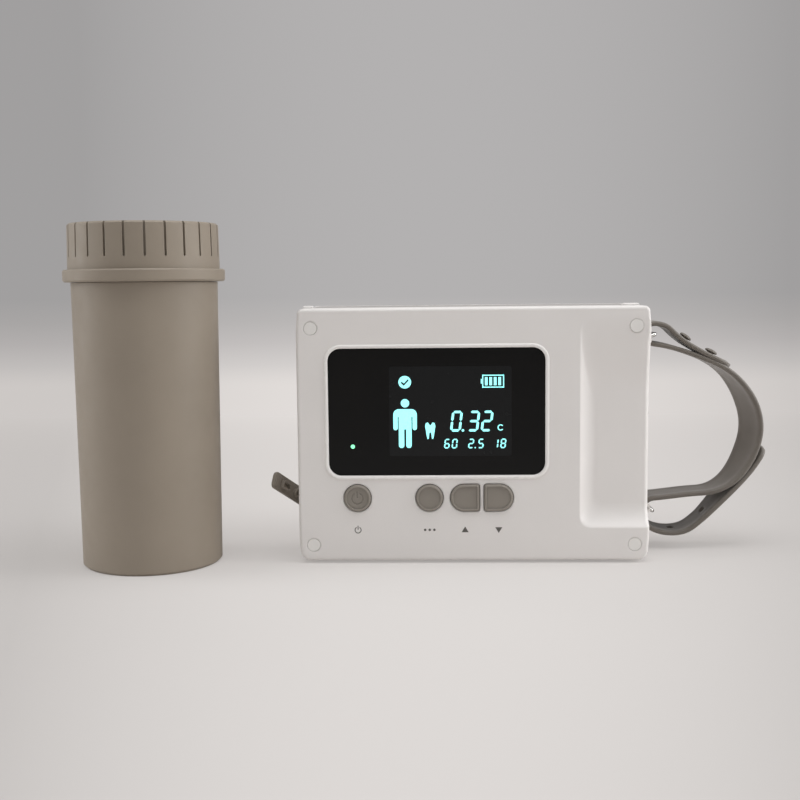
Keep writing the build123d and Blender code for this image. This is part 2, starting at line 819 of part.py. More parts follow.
def make_port_board():
    """The small board on edge behind the two connectors, with the posts that carry it."""
    x0 = left_x + pocket_depth + jack_depth
    y0 = hinge_y - usb_reach - usb_width / 2 - port_board_margin
    y1 = hinge_y - jack_reach + jack_size / 2 + port_board_margin
    board = block(x0, x0 + port_board_thick, y0, y1, pocket_z - 7, pocket_z + 7)
    wall_inside = left_x + pocket_depth + wall
    for y in (y0 + port_post_width / 2, y1 - port_post_width / 2):
        board += block(wall_inside, x0 + 0.1, y - port_post_width / 2, y + port_post_width / 2,
                       pocket_z - 6.4, pocket_z - 3.6)
    usb_back = left_x + pocket_depth + usb_depth
    usb_y = hinge_y - usb_reach
    board += block(usb_back, x0 + 0.1, usb_y - 3, usb_y + 3, pocket_z - 1.4, pocket_z + 1.4)
    return board


def make_strap_ring(pivot_z, tilt):
    """A wire bail: two pins, two arms and the bar that carries the strap."""
    arm = Vector(math.cos(math.radians(tilt)), 0, math.sin(math.radians(tilt))) * ring_arm
    pivot_near = Vector(ring_pivot, ring_y - ring_half_width, pivot_z)
    pivot_far = Vector(ring_pivot, ring_y + ring_half_width, pivot_z)
    out = Vector(0, ring_pin_length, 0)
    route = [pivot_near - out, pivot_near, pivot_near + arm, pivot_far + arm, pivot_far, pivot_far + out]
    path = FilletPolyline(*route, radius=1.3)
    start = Plane(origin=route[0], z_dir=(0, 1, 0))
    return sweep(start * Circle(ring_wire), path=path)


def make_ring_ears():
    """The four lugs on the side wall that hold the bails' pins."""
    ears = []
    for pivot_z in (upper_ring_z, lower_ring_z):
        for side in (-1, 1):
            inner = ring_y + side * (ring_half_width + ring_wire + ear_gap)
            outer = inner + side * ear_length
            ear = block(right_x, ring_pivot + ear_half_height - 0.5, min(inner, outer), max(inner, outer),
                        pivot_z - ear_half_height, pivot_z + ear_half_height)
            round_edges = ear.edges().filter_by(Axis.Y).group_by(Axis.X)[-1]
            ear = fillet(round_edges, 1.2)
            ears.append(ear - rod_y(ring_wire + ear_bore_gap, min(inner, outer) - 1, max(inner, outer) + 1,
                                    ring_pivot, pivot_z))
    return ears


def strap_corners():
    """Each corner of the strap's route with its fillet: radius, tangent points and centre."""
    points = [Vector(x, 0, z) for x, z in strap_rows]
    corners = []
    for before, point, after in zip(points, points[1:], points[2:]):
        come = (point - before).normalized()
        leave = (after - point).normalized()
        turn = math.radians(come.get_angle(leave))
        reach = strap_fill * min((point - before).length, (after - point).length)
        radius = reach / math.tan(turn / 2)
        left = 1 if come.cross(leave).Y < 0 else -1
        normal = Vector(-come.Z, 0, come.X) * left
        centre = point - come * reach + normal * radius
        corners.append((radius, point - come * reach, point + leave * reach, centre, left, point))
    return corners


def strap_side(offset):
    """Edges of one face of the strap, at an offset to the left of its route."""
    points = [Vector(x, 0, z) for x, z in strap_rows]
    corners = strap_corners()
    edges = []
    first = (points[1] - points[0]).normalized()
    last_point = points[0] + Vector(-first.Z, 0, first.X) * offset
    for radius, start, end, centre, left, point in corners:
        scale = (radius - left * offset) / radius
        start_off = centre + (start - centre) * scale
        end_off = centre + (end - centre) * scale
        middle = centre + (point - centre).normalized() * (radius - left * offset)
        edges.append(Line(last_point, start_off))
        edges.append(ThreePointArc(start_off, middle, end_off))
        last_point = end_off
    final = (points[-1] - points[-2]).normalized()
    edges.append(Line(last_point, points[-1] + Vector(-final.Z, 0, final.X) * offset))
    return edges


def strap_frame(index):
    """The middle of a run of the strap's route, with the way out of the loop and the way along."""
    x0, z0 = strap_rows[index]
    x1, z1 = strap_rows[index + 1]
    run = Vector(x1 - x0, 0, z1 - z0).normalized()
    return Vector((x0 + x1) / 2, 0, (z0 + z1) / 2), Vector(run.Z, 0, -run.X), run


def strap_turned(shape):
    """Swings the strap away from the operator about the bails."""
    return shape.rotate(Axis((ring_pivot + ring_arm, ring_y, 0), (0, 0, 1)), strap_swing)


def make_hand_strap():
    """The silicone band through both bails, doubled back on itself at each end."""
    half = strap_thick / 2
    left = strap_side(half)
    right = strap_side(-half)
    close_start = Line(left[0] @ 0, right[0] @ 0)
    close_end = Line(left[-1] @ 1, right[-1] @ 1)
    face = make_face(Curve() + left + right + [close_start, close_end])
    band = extrude(face, amount=strap_width / 2, dir=(0, 1, 0), both=True)
    for index in stud_runs:
        point, outward, run = strap_frame(index)
        band -= Plane(origin=point, z_dir=outward) * Cylinder(stud_shank + stud_gap, 1.5 * strap_thick)
    for index in slot_runs:
        point, outward, run = strap_frame(index)
        band -= Plane(origin=point, x_dir=run, z_dir=outward) * Box(slot_height, slot_length, 1.5 * strap_thick)
    return strap_turned(Pos(0, ring_y, 0) * band)


def make_strap_studs():
    """Mushroom studs pressed through the band."""
    studs = []
    for index in stud_runs:
        point, outward, run = strap_frame(index)
        base = Plane(origin=point + outward * (strap_thick / 2 + stud_gap), z_dir=outward)
        head = Pos(0, 0, stud_head / 2) * Cylinder(stud_radius, stud_head)
        head = fillet(head.faces().sort_by(Axis.Z)[-1].edges(), stud_head / 2)
        shank = Pos(0, 0, -(strap_thick + stud_gap) / 2) * Cylinder(stud_shank, strap_thick + stud_gap)
        studs.append(strap_turned(Pos(0, ring_y, 0) * (base * (head + shank))))
    return studs


def make_cone_socket():
    """The collar on the beam side with three L-shaped bayonet slots."""
    y0 = body_depth
    y1 = body_depth + socket_length
    collar = rod_y(socket_radius, y0, y1, beam_x, beam_z)
    collar = fillet(collar.faces().sort_by(Axis.Y)[-1].edges(), 0.8)
    collar += rod_y(socket_flange_radius, y0, y0 + socket_flange, beam_x, beam_z)
    collar -= rod_y(socket_radius - socket_wall, y0 - 1, y1 + 1, beam_x, beam_z)
    collar -= rod_y(beam_window_radius + face_gap + beam_window_step, y0 - 1, y0 + beam_window_thick + face_gap,
                    beam_x, beam_z)
    ring = rod_y(socket_radius + 1, y1 - bayonet_rise - bayonet_height, y1 - bayonet_rise, beam_x, beam_z)
    ring -= rod_y(socket_radius - bayonet_depth, y0, y1 + 1, beam_x, beam_z)
    for turn in range(slot_count):
        angle = slot_turn + turn * 360 / slot_count
        mouth = block(-bayonet_width / 2, bayonet_width / 2, y1 - bayonet_rise - bayonet_height, y1 + 1,
                      socket_radius - bayonet_depth, socket_radius + 2)
        collar -= Pos(beam_x, 0, beam_z) * Rot(0, angle, 0) * mouth
        half = bayonet_turn / 2
        wedge = make_face(Polyline((0, 0), polar(60, 90 - angle), polar(60, 90 - angle - half),
                                   polar(60, 90 - angle - 2 * half), close=True))
        sector = slab(Pos(beam_x, beam_z) * wedge, y0, y1)
        collar -= ring & sector
    for angle in socket_screw_angles():
        x = beam_x + socket_screw_radius * math.cos(math.radians(angle))
        z = beam_z + socket_screw_radius * math.sin(math.radians(angle))
        collar -= rod_y(small_screw_radius + screw_clearance, y0 - 1, y1 + 1, x, z)
        collar -= rod_y(small_head_radius + 0.2, y1 - socket_screw_sink, y1 + 1, x, z)
    return collar


def polar(radius, angle):
    """A point at a distance and an angle in degrees."""
    return (radius * math.cos(math.radians(angle)), radius * math.sin(math.radians(angle)))


def socket_screws():
    """Screws that hold the socket on the housing."""
    places = [(beam_x + socket_screw_radius * math.cos(math.radians(a)),
               beam_z + socket_screw_radius * math.sin(math.radians(a))) for a in socket_screw_angles()]
    seat = body_depth + socket_length - socket_screw_sink
    screws = []
    for x, z in places:
        head = rod_y(small_head_radius, seat, seat + small_head_height, x, z)
        screws.append(head + rod_y(small_screw_radius - face_gap, back_wall_y, seat, x, z))
    return screws


def make_tube_tank():
    """The shielded tank: an open box with four ears and a round beam port."""
    x0 = beam_x - tank_half_width
    x1 = beam_x + tank_half_width
    z0 = beam_z - tank_half_height
    z1 = beam_z + tank_half_height
    tank = block(x0, x1, tank_front, tank_back, z0, z1)
    tank = fillet(tank.edges().filter_by(Axis.Y), 4.0)
    tank -= block(x0 + tank_wall, x1 - tank_wall, tank_front - 1, tank_back - tank_wall,
                  z0 + tank_wall, z1 - tank_wall)
    for x, z in tank_screw_places():
        tank += block(x - tank_lug / 2 - 1, x + tank_lug / 2 + 1, tank_back - tank_wall, tank_back,
                      z - tank_lug / 2, z + tank_lug / 2)
    for x, z in tank_screw_places():
        tank -= rod_y(small_screw_radius + screw_clearance, tank_back - 5, tank_back + 1, x, z)
    for side in (-1, 1):
        end = beam_x + side * (tube_length / 2 + tube_carrier / 2)
        carrier = block(end - tube_carrier / 2, end + tube_carrier / 2,
                        tube_y() - tube_neck - 2.5, tank_back - 1, beam_z - 5, beam_z + 5)
        tank += carrier - rod_x(tube_neck + 0.05, end - tube_carrier, end + tube_carrier, tube_y(), beam_z)
    return tank - rod_y(tank_port_radius, tank_back - 5, tank_back + 1, beam_x, beam_z)


def tube_y():
    """Depth of the x-ray tube's axis."""
    return (tank_front + tank_back) / 2


def make_tank_lid():
    """The plate that seals the tank."""
    x0 = beam_x - tank_half_width
    z0 = beam_z - tank_half_height
    lid = block(x0, x0 + 2 * tank_half_width, tank_front - tank_lid, tank_front, z0, z0 + 2 * tank_half_height)
    return fillet(lid.edges().filter_by(Axis.Y), 4.0)


def make_xray_tube():
    """The glass envelope: a hollow barrel with a neck at each end."""
    half = tube_length / 2
    end = half + tube_carrier
    profile = [(-end, 0), (-end, tube_neck), (-half, tube_neck), (-half + 4, tube_radius),
               (half - 4, tube_radius), (half, tube_neck), (end, tube_neck), (end, 0)]
    inner = [(-half, 0), (-half, tube_neck - tube_wall), (-half + 4, tube_radius - tube_wall),
             (half - 4, tube_radius - tube_wall), (half, tube_neck - tube_wall), (half, 0)]
    outer_solid = revolve(make_face(Polyline(*profile, close=True)), Axis.X)
    inner_solid = revolve(make_face(Polyline(*inner, close=True)), Axis.X)
    return Pos(beam_x, tube_y(), beam_z) * (outer_solid - inner_solid)


def make_anode():
    """The copper anode with its slanted target."""
    right = tube_length / 2
    bar = Pos(beam_x, tube_y(), beam_z) * rod_x(anode_radius * 0.5, right - anode_length, right, 0, 0)
    head = rod_x(anode_radius, right - anode_length, right - 9, 0, 0)
    slant = Pos(right - anode_length, 0, 0) * Rot(0, 0, anode_tilt) * Box(8, 40, 40)
    head = Pos(beam_x, tube_y(), beam_z) * (head - slant)
    bar -= Pos(beam_x, tube_y(), beam_z) * slant
    return head + bar


def make_cathode():
    """The cathode cup that faces the target."""
    left = -tube_length / 2
    cup = rod_x(cathode_radius, left + 6, left + 6 + cathode_length, 0, 0)
    cup -= rod_x(cathode_radius - 1.5, left + 6 + cathode_length - 2, left + 7 + cathode_length, 0, 0)
    return Pos(beam_x, tube_y(), beam_z) * (cup + rod_x(1.5, left, left + 7, 0, 0))


def make_tube_shield():
    """The lead sleeve round the tube, open at the beam port."""
    half = tube_length / 2 - 5
    sleeve = rod_x(tube_radius + shield_gap + shield_wall, beam_x - half, beam_x + half, tube_y(), beam_z)
    sleeve -= rod_x(tube_radius + shield_gap, beam_x - half - 1, beam_x + half + 1, tube_y(), beam_z)
    return sleeve - rod_y(shield_port, tube_y(), tube_y() + 40, beam_x, beam_z)


def make_power_board():
    """The board on the grip side that drives the tube."""
    board = block(power_board_left, power_board_right, power_board_y, power_board_y + board_thick,
                  power_board_bottom, power_board_top)
    for x, z in power_board_holes():
        board -= rod_y(small_screw_radius + screw_clearance, power_board_y - 1, power_board_y + 3, x, z)
    return board


def make_power_parts():
    """Transformer and storage capacitors on the power board."""
    x0 = power_board_left + transformer_inset
    z1 = power_board_top - transformer_inset - board_inset
    transformer = block(x0, x0 + transformer_size, power_board_y - transformer_depth, power_board_y,
                        z1 - transformer_height, z1)
    parts = [fillet(transformer.edges().filter_by(Axis.Z), 2.0)]
    for row in range(2):
        for column in range(capacitor_columns):
            x = power_board_left + capacitor_inset + column * capacitor_pitch
            z = power_board_bottom + capacitor_rise + row * capacitor_pitch
            parts.append(rod_y(capacitor_radius, power_board_y - capacitor_depth, power_board_y, x, z))
    return parts


def make_trigger():
    """The exposure trigger: a long pad with a flange inside and a stem to its switch."""
    pad = slab(trigger_outline(), back_wall_y - 0.1, body_depth + trigger_proud)
    pad = fillet(pad.faces().sort_by(Axis.Y)[-1].edges(), trigger_edge)
    flange_back = back_wall_y - face_gap
    pad += slab(trigger_outline(1.2), flange_back - 1.2, flange_back)
    return pad + rod_y(trigger_stem, trigger_stem_end(), flange_back, trigger_x, trigger_z)


def trigger_stem_end():
    """Where the trigger's stem ends, clear of the switch by its travel."""
    return power_board_y + board_thick + trigger_switch_height + trigger_travel + 0.1


def make_trigger_switch():
    """The switch on the power board that the trigger's stem presses."""
    y0 = power_board_y + board_thick
    return block(trigger_x - 3.2, trigger_x + 3.2, y0, y0 + trigger_switch_height,
                 trigger_z - 6.4, trigger_z + 6.4)


def cell_rows():
    """Depths of the battery cells, as many as fit between the cover and the back wall."""
    return [cell_front + cell_radius + row * cell_pitch for row in range(cell_count)]


def make_battery_cells():
    """Cells side by side with their button ends."""
    z = bottom_z + wall + cell_lift + cell_radius
    cells = []
    for y in cell_rows():
        cell = rod_x(cell_radius, cell_left, cell_left + cell_length, y, z)
        cell = chamfer(cell.edges().filter_by(GeomType.CIRCLE), 0.8)
        cells.append(cell + rod_x(2.8, cell_left + cell_length, cell_left + cell_length + 1.2, y, z))
    return cells


def make_battery_cradle():
    """The tray under the cells, with a saddle at each end."""
    z0 = bottom_z + wall
    rows = cell_rows()
    y0 = rows[0] - cell_radius
    y1 = rows[-1] + cell_radius
    cradle = block(cell_left + 2, cell_left + cell_length - 2, y0, y1, z0, z0 + cell_lift - 0.5)
    for x in (cell_left + 4, cell_left + cell_length - 4 - cradle_saddle):
        cradle += block(x, x + cradle_saddle, y0, y1, z0, z0 + cell_lift + cell_radius)
    for y in rows:
        cradle -= rod_x(cell_radius + face_gap, cell_left - 1, cell_left + cell_length + 1, y,
                        bottom_z + wall + cell_lift + cell_radius)
    return cradle


def make_cone_tube():
    """The tapered cone: straight bore, thick tip edge, and the neck that the lock ring turns on."""
    profile = [
        (cone_bore, 0), (cone_tip_radius - cone_tip_edge, 0), (cone_tip_radius, cone_tip_edge),
        (cone_root_radius, cone_height), (neck_radius, cone_height), (neck_radius, cone_height + neck_height),
        (cone_bore, cone_height + neck_height),
    ]
    face = make_face(Plane.XZ * Polyline(*profile, close=True))
    return Pos(cone_x, cone_y, 0) * revolve(face, Axis.Z)


def make_cone_liner():
    """The thin absorbing sleeve inside the cone."""
    radius = cone_bore - liner_gap
    sleeve = rod_z(radius, 4, cone_height, cone_x, cone_y)
    return sleeve - rod_z(radius - liner_wall, 3, cone_height + 1, cone_x, cone_y)


def make_lock_ring():
    """The flanged ring with its grip notches and three bayonet lugs."""
    base = ring_base_z
    top = base + ring_height
    profile = [
        (neck_radius + ring_run, base), (flange_radius - 0.8, base), (flange_radius, base + 0.8),
        (flange_radius, base + flange_height - 0.6), (flange_radius - 0.6, base + flange_height),
        (ring_radius + 0.35, base + flange_height), (ring_radius, top - 0.8), (ring_radius - 0.8, top),
        (ring_bore, top), (ring_bore, base + ring_lip_height), (neck_radius + ring_run, base + ring_lip_height),
    ]
    ring = revolve(make_face(Plane.XZ * Polyline(*profile, close=True)), Axis.Z)
    notch_tool = block(ring_radius - notch_depth, ring_radius + 3, -notch_width / 2, notch_width / 2,
                       top - notch_length, top + 1)
    notch_tool = fillet(notch_tool.edges().filter_by(Axis.X).group_by(Axis.Z)[0], notch_width / 2 - 0.05)
    for turn in range(notch_count):
        ring -= Rot(0, 0, -90 + turn * 360 / notch_count) * notch_tool
    for turn in range(slot_count):
        lug = block(ring_bore - lug_depth, ring_bore + 0.5, -lug_width / 2, lug_width / 2,
                    top - lug_drop - lug_height, top - lug_drop)
        ring += Rot(0, 0, 30 + turn * 360 / slot_count) * lug
    return Pos(cone_x, cone_y, 0) * ring


def make_cone_retainer():
    """The ring fixed to the cone's neck that keeps the lock ring on."""
    base = ring_base_z + ring_lip_height + 0.2
    ring = rod_z(ring_bore - 0.3, base, base + retainer_height, cone_x, cone_y)
    ring -= rod_z(cone_bore, base - 1, base + retainer_height + 1, cone_x, cone_y)
    rebate = rod_z(neck_radius + face_gap, base - 1, cone_height + neck_height + face_gap, cone_x, cone_y)
    return ring - rebate


def panel_outline(gap):
    """The top panel's outline at the floor of its sink, a gap smaller all round."""
    width = body_width - 2 * (panel_side_inset + gap)
    face = RectangleRounded(width, panel_back - panel_front - 2 * gap, panel_corner)
    return Pos((left_x + right_x) / 2, (panel_front + panel_back) / 2, top_z - panel_sink) * face


def make_top_panel():
    """The flush panel in the top."""
    return extrude(panel_outline(panel_gap), amount=panel_thick)


def make_display_window():
    """The black glass."""
    pane = slab(rounded(window_width, window_height, window_corner - glass_gap, window_x, window_z),
                window_sink, glass_back)
    return fillet(pane.faces().sort_by(Axis.Y)[0].edges(), 0.3)


def make_display_module():
    """The display with its metal frame, behind the glass."""
    y0 = glass_back + face_gap
    return block(display_x - display_width / 2, display_x + display_width / 2, y0, y0 + display_thick,
                 window_z - display_height / 2, window_z + display_height / 2)


def make_screw_caps():
    """Plugs over the four long screws."""
    caps = []
    for x, z in screw_places:
        cap = rod_y(cap_radius, cap_sink, screw_seat - screw_head_height, x, z)
        caps.append(fillet(cap.faces().sort_by(Axis.Y)[0].edges(), 0.25))
    return caps


def make_feet():
    """Rubber feet set into the underside."""
    feet = []
    for x, y in foot_places():
        foot = rod_z(foot_radius, 0, bottom_z + foot_seat, x, y)
        feet.append(fillet(foot.faces().sort_by(Axis.Z)[0].edges(), 0.4))
    return feet


def make_beam_window():
    """The thin disc that closes the socket."""
    y0 = body_depth
    disc = rod_y(beam_window_radius + beam_window_step, y0 + beam_window_step_y, y0 + beam_window_thick,
                 beam_x, beam_z)
    return disc + rod_y(beam_window_radius, y0, y0 + 1, beam_x, beam_z)


def make_beam_filter():
    """The aluminium filter against the tank's port."""
    return rod_y(filter_radius, tank_back, tank_back + filter_thick, beam_x, beam_z)


def make_buzzer():
    """The sounder on the back of the control board."""
    y0 = board_y + board_thick
    return rod_y(buzzer_radius, y0, y0 + buzzer_height, board_right - buzzer_inset, board_bottom + buzzer_inset)


def build_nodes():
    """Every piece under its name."""
    nodes = {
        "operator_cover": make_operator_cover(),
        "main_housing": make_main_housing(),
        "top_panel": make_top_panel(),
        "display_window": make_display_window(),
        "display_module": make_display_module(),
        "display_bracket": make_display_bracket(),
        "control_board": make_control_board(),
        "tact_switches": make_tact_switches(),
        "status_light": make_status_light(),
        "buzzer": make_buzzer(),
        "screw_caps": make_screw_caps(),
        "cover_screws": make_screws(screw_radius, screw_head_radius, screw_head_height, screw_length,
                                    screw_seat, screw_places),
        "screw_inserts": make_inserts(),
        "board_screws": small_screws(board_holes(), board_y + board_thick, -1),
        "feet": make_feet(),
        "port_flap": make_port_flap(),
        "flap_tether": make_flap_tether(),
        "usb_port": make_usb_port(),
        "dc_jack": make_dc_jack(),
        "port_board": make_port_board(),
        "strap_ring_upper": make_strap_ring(upper_ring_z, upper_ring_tilt),
        "strap_ring_lower": make_strap_ring(lower_ring_z, lower_ring_tilt),
        "ring_ears": make_ring_ears(),
        "hand_strap": make_hand_strap(),
        "strap_studs": make_strap_studs(),
        "cone_socket": make_cone_socket(),
        "socket_screws": socket_screws(),
        "beam_window": make_beam_window(),
        "beam_filter": make_beam_filter(),
        "tube_tank": make_tube_tank(),
        "tank_lid": make_tank_lid(),
        "xray_tube": make_xray_tube(),
        "tube_anode": make_anode(),
        "tube_cathode": make_cathode(),
        "tube_shield": make_tube_shield(),
        "tank_screws": small_screws(tank_screw_places(), tank_back - tank_wall, 1),
        "power_board": make_power_board(),
        "power_parts": make_power_parts(),
        "power_screws": small_screws(power_board_holes(), power_board_y, 1),
        "trigger_switch": make_trigger_switch(),
        "exposure_trigger": make_trigger(),
        "battery_cells": make_battery_cells(),
        "battery_cradle": make_battery_cradle(),
        "cone_tube": make_cone_tube(),
        "cone_liner": make_cone_liner(),
        "cone_lock_ring": make_lock_ring(),
        "cone_retainer": make_cone_retainer(),
    }
    for name in button_outlines:
        nodes[name] = make_button(name)
    return nodes


def as_shape(piece):
    """One shape from a piece or a list of separate pieces."""
    pieces = piece if isinstance(piece, list) else [piece]
    return Compound([solid for part in pieces for solid in part.solids()])


nodes = {name: as_shape(piece) for name, piece in build_nodes().items()}
bounds = Compound([solid for shape in nodes.values() for solid in shape.solids()]).bounding_box()
centre_shift = Vector(-(bounds.min.X + bounds.max.X) / 2, -(bounds.min.Y + bounds.max.Y) / 2, -bounds.min.Z)
os.makedirs("parts", exist_ok=True)
for name, shape in nodes.items():
    placed = shape.moved(Location(centre_shift))
    export_step(placed, "parts/" + name + ".step")
print("set size", bounds.size, "shift", centre_shift)
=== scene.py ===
import math

import bmesh
import bpy
from mathutils import Matrix, Vector


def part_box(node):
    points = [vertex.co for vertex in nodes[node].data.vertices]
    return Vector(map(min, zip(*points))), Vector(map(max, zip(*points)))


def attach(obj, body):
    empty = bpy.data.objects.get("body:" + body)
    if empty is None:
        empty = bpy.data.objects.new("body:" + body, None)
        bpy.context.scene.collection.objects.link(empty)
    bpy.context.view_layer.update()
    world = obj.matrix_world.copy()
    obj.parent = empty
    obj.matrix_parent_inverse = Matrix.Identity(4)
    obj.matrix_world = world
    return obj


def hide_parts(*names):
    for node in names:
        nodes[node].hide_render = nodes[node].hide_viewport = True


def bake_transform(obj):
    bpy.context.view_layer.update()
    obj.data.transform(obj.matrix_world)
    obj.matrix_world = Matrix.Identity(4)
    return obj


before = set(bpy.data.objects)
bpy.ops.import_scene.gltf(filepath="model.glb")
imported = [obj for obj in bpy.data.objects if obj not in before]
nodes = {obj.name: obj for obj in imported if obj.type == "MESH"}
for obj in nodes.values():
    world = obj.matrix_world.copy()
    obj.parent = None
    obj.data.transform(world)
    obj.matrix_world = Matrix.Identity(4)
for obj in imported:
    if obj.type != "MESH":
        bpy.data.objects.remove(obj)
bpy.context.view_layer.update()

# The part's own frame: X from the casing's middle, Y from its face, Z from the table, in millimetres
MM = 0.001
HALF_WIDTH = 83.5
housing_low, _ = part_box("main_housing")
cover_low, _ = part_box("operator_cover")
ORIGIN = Vector((housing_low.x + HALF_WIDTH * MM, cover_low.y, 0.0))


def at(x, y, z):
    """A place in the part's frame, in metres of the row frame."""
    return ORIGIN + Vector((x, y, z)) * MM


def linear(code):
    """A colour written as #rrggbb, in linear light with alpha."""
    values = [int(code[i:i + 2], 16) / 255 for i in (1, 3, 5)]
    return [v / 12.92 if v <= 0.04045 else ((v + 0.055) / 1.055) ** 2.4 for v in values] + [1.0]


# Camera, fitted to the photograph: angles in radians, place in the part's frame
FOCAL_PX = 1134.8
IMAGE_PX = 800
SENSOR_WIDTH = 36.0
CLIP_START = 0.01
PITCH = 0.10051
ROLL = -0.01024
YAW = -0.03407
CAMERA_MM = (-16.31, -533.36, 132.47)


def make_camera():
    """The camera that saw the photograph."""
    forward = Vector((math.sin(YAW) * math.cos(PITCH), math.cos(YAW) * math.cos(PITCH), -math.sin(PITCH)))
    right = Vector((math.cos(YAW), -math.sin(YAW), 0.0))
    up = right.cross(forward)
    right_rolled = math.cos(ROLL) * right + math.sin(ROLL) * up
    up_rolled = -math.sin(ROLL) * right + math.cos(ROLL) * up
    data = bpy.data.cameras.new("camera")
    data.sensor_width = SENSOR_WIDTH
    data.lens = FOCAL_PX / IMAGE_PX * SENSOR_WIDTH
    data.clip_start = CLIP_START
    camera = bpy.data.objects.new("camera", data)
    bpy.context.scene.collection.objects.link(camera)
    turn = Matrix((right_rolled, up_rolled, -forward)).transposed()
    camera.matrix_world = Matrix.Translation(at(*CAMERA_MM)) @ turn.to_4x4()
    bpy.context.scene.camera = camera


make_camera()


# Node helpers
class Shader:
    """A material under construction, with short ways to add and join nodes."""

    def __init__(self, name):
        self.material = bpy.data.materials.new(name)
        self.material.use_nodes = True
        self.tree = self.material.node_tree
        self.surface = self.tree.nodes["Principled BSDF"]
        self.place = self.add("ShaderNodeTexCoord").outputs["Object"]

    def add(self, kind, **settings):
        node = self.tree.nodes.new(kind)
        for key, value in settings.items():
            setattr(node, key, value)
        return node

    def join(self, output, socket):
        self.tree.links.new(output, socket)

    def noise(self, scale, detail=3.0, stretch=None, rough=0.5):
        node = self.add("ShaderNodeTexNoise")
        node.inputs["Scale"].default_value = scale
        node.inputs["Detail"].default_value = detail
        node.inputs["Roughness"].default_value = rough
        place = self.place
        if stretch:
            mapping = self.add("ShaderNodeMapping")
            mapping.inputs["Scale"].default_value = stretch
            self.join(place, mapping.inputs["Vector"])
            place = mapping.outputs["Vector"]
        self.join(place, node.inputs["Vector"])
        return node.outputs["Fac"]

    def ramp(self, value, low, high, out_low=0.0, out_high=1.0):
        node = self.add("ShaderNodeMapRange")
        node.clamp = True
        node.inputs["From Min"].default_value = low
        node.inputs["From Max"].default_value = high
        node.inputs["To Min"].default_value = out_low
        node.inputs["To Max"].default_value = out_high
        self.join(value, node.inputs["Value"])
        return node.outputs["Result"]

    def mix(self, factor, a, b):
        node = self.add("ShaderNodeMix", data_type="RGBA")
        for socket, value in ((node.inputs["Factor"], factor), (node.inputs["A"], a), (node.inputs["B"], b)):
            if hasattr(value, "default_value"):
                self.join(value, socket)
            else:
                socket.default_value = value
        return node.outputs["Result"]

    def maths(self, operation, a, b):
        node = self.add("ShaderNodeMath", operation=operation)
        for socket, value in zip(node.inputs, (a, b)):
            if hasattr(value, "default_value"):
                self.join(value, socket)
            else:
                socket.default_value = value
        return node.outputs[0]

    def edges(self, radius, low, high):
        """1 on convex and concave edges, 0 on flat ground."""
        bevel = self.add("ShaderNodeBevel", samples=4)
        bevel.inputs["Radius"].default_value = radius
        geometry = self.add("ShaderNodeNewGeometry")
        dot = self.add("ShaderNodeVectorMath", operation="DOT_PRODUCT")
        self.join(bevel.outputs["Normal"], dot.inputs[0])
        self.join(geometry.outputs["Normal"], dot.inputs[1])
        return self.ramp(dot.outputs["Value"], high, low)

    def bump(self, height, distance, strength=1.0, normal=None):
        node = self.add("ShaderNodeBump")
        node.inputs["Strength"].default_value = strength
        node.inputs["Distance"].default_value = distance
        self.join(height, node.inputs["Height"])
        if normal is not None:
            self.join(normal, node.inputs["Normal"])
        return node.outputs["Normal"]

    def soft_normal(self, radius):
        """Normals rounded over a small radius."""
        bevel = self.add("ShaderNodeBevel", samples=6)
        bevel.inputs["Radius"].default_value = radius
        return bevel.outputs["Normal"]

    def colour(self, value):
        if hasattr(value, "default_value"):
            self.join(value, self.surface.inputs["Base Color"])
        else:
            self.surface.inputs["Base Color"].default_value = value

    def rough(self, value):
        if hasattr(value, "default_value"):
            self.join(value, self.surface.inputs["Roughness"])
        else:
            self.surface.inputs["Roughness"].default_value = value


def toned(colour, share):
    """A colour made darker or lighter, with full alpha."""
    return [min(1.0, v * share) for v in colour[:3]] + [1.0]


# Scales of the noise on mouldings, and the paler edges, a painted highlight mixed with scuffing: reach in
# metres, bevel limits and share
CLOUD_SCALE = 38.0
WEAR_HIGHLIGHT_SCALE = 240.0
SPOT_SCALE = 160.0
WEAR_HIGHLIGHT_REACH = 0.0007
WEAR_HIGHLIGHT_SHARP = 0.80
WEAR_HIGHLIGHT_FLAT = 0.985
WEAR_HIGHLIGHT_SHARE = 0.55


def moulded(name, code, rough, grain=0.00004, grain_scale=2600.0, mottle=0.05, wear_highlight=0.10, round_edges=0.0,
            sheen=0.0, level=0.5):
    """Moulded plastic or rubber: faint mottling, fine grain, paler edges that are painted highlight and
    scuffing in one.
    """
    m = Shader(name)
    base = linear(code)
    cloud = m.ramp(m.noise(CLOUD_SCALE, 4.0), 0.3, 0.7)
    tone = m.mix(cloud, toned(base, 1 - mottle), toned(base, 1 + mottle))
    # Paler edges: a painted highlight on convex and concave edges, broken up by noise like scuffing
    if wear_highlight > 0:
        edge = m.edges(WEAR_HIGHLIGHT_REACH, WEAR_HIGHLIGHT_SHARP, WEAR_HIGHLIGHT_FLAT)
        wear_highlight_mask = m.maths("MULTIPLY", edge, m.ramp(m.noise(WEAR_HIGHLIGHT_SCALE, 5.0), 0.35, 0.7))
        wear_highlight_colour = [min(1.0, v + wear_highlight) for v in base[:3]] + [1.0]
        tone = m.mix(m.maths("MULTIPLY", wear_highlight_mask, WEAR_HIGHLIGHT_SHARE), tone, wear_highlight_colour)
    m.colour(tone)
    m.rough(m.ramp(m.noise(SPOT_SCALE, 3.0), 0.3, 0.7, rough - 0.05, rough + 0.06))
    normal = m.soft_normal(round_edges) if round_edges > 0 else None
    m.join(m.bump(m.noise(grain_scale, 2.0), grain, 0.6, normal), m.surface.inputs["Normal"])
    m.surface.inputs["Specular IOR Level"].default_value = level
    if sheen > 0:
        m.surface.inputs["Sheen Weight"].default_value = sheen
        m.surface.inputs["Sheen Roughness"].default_value = 0.5
    return m.material


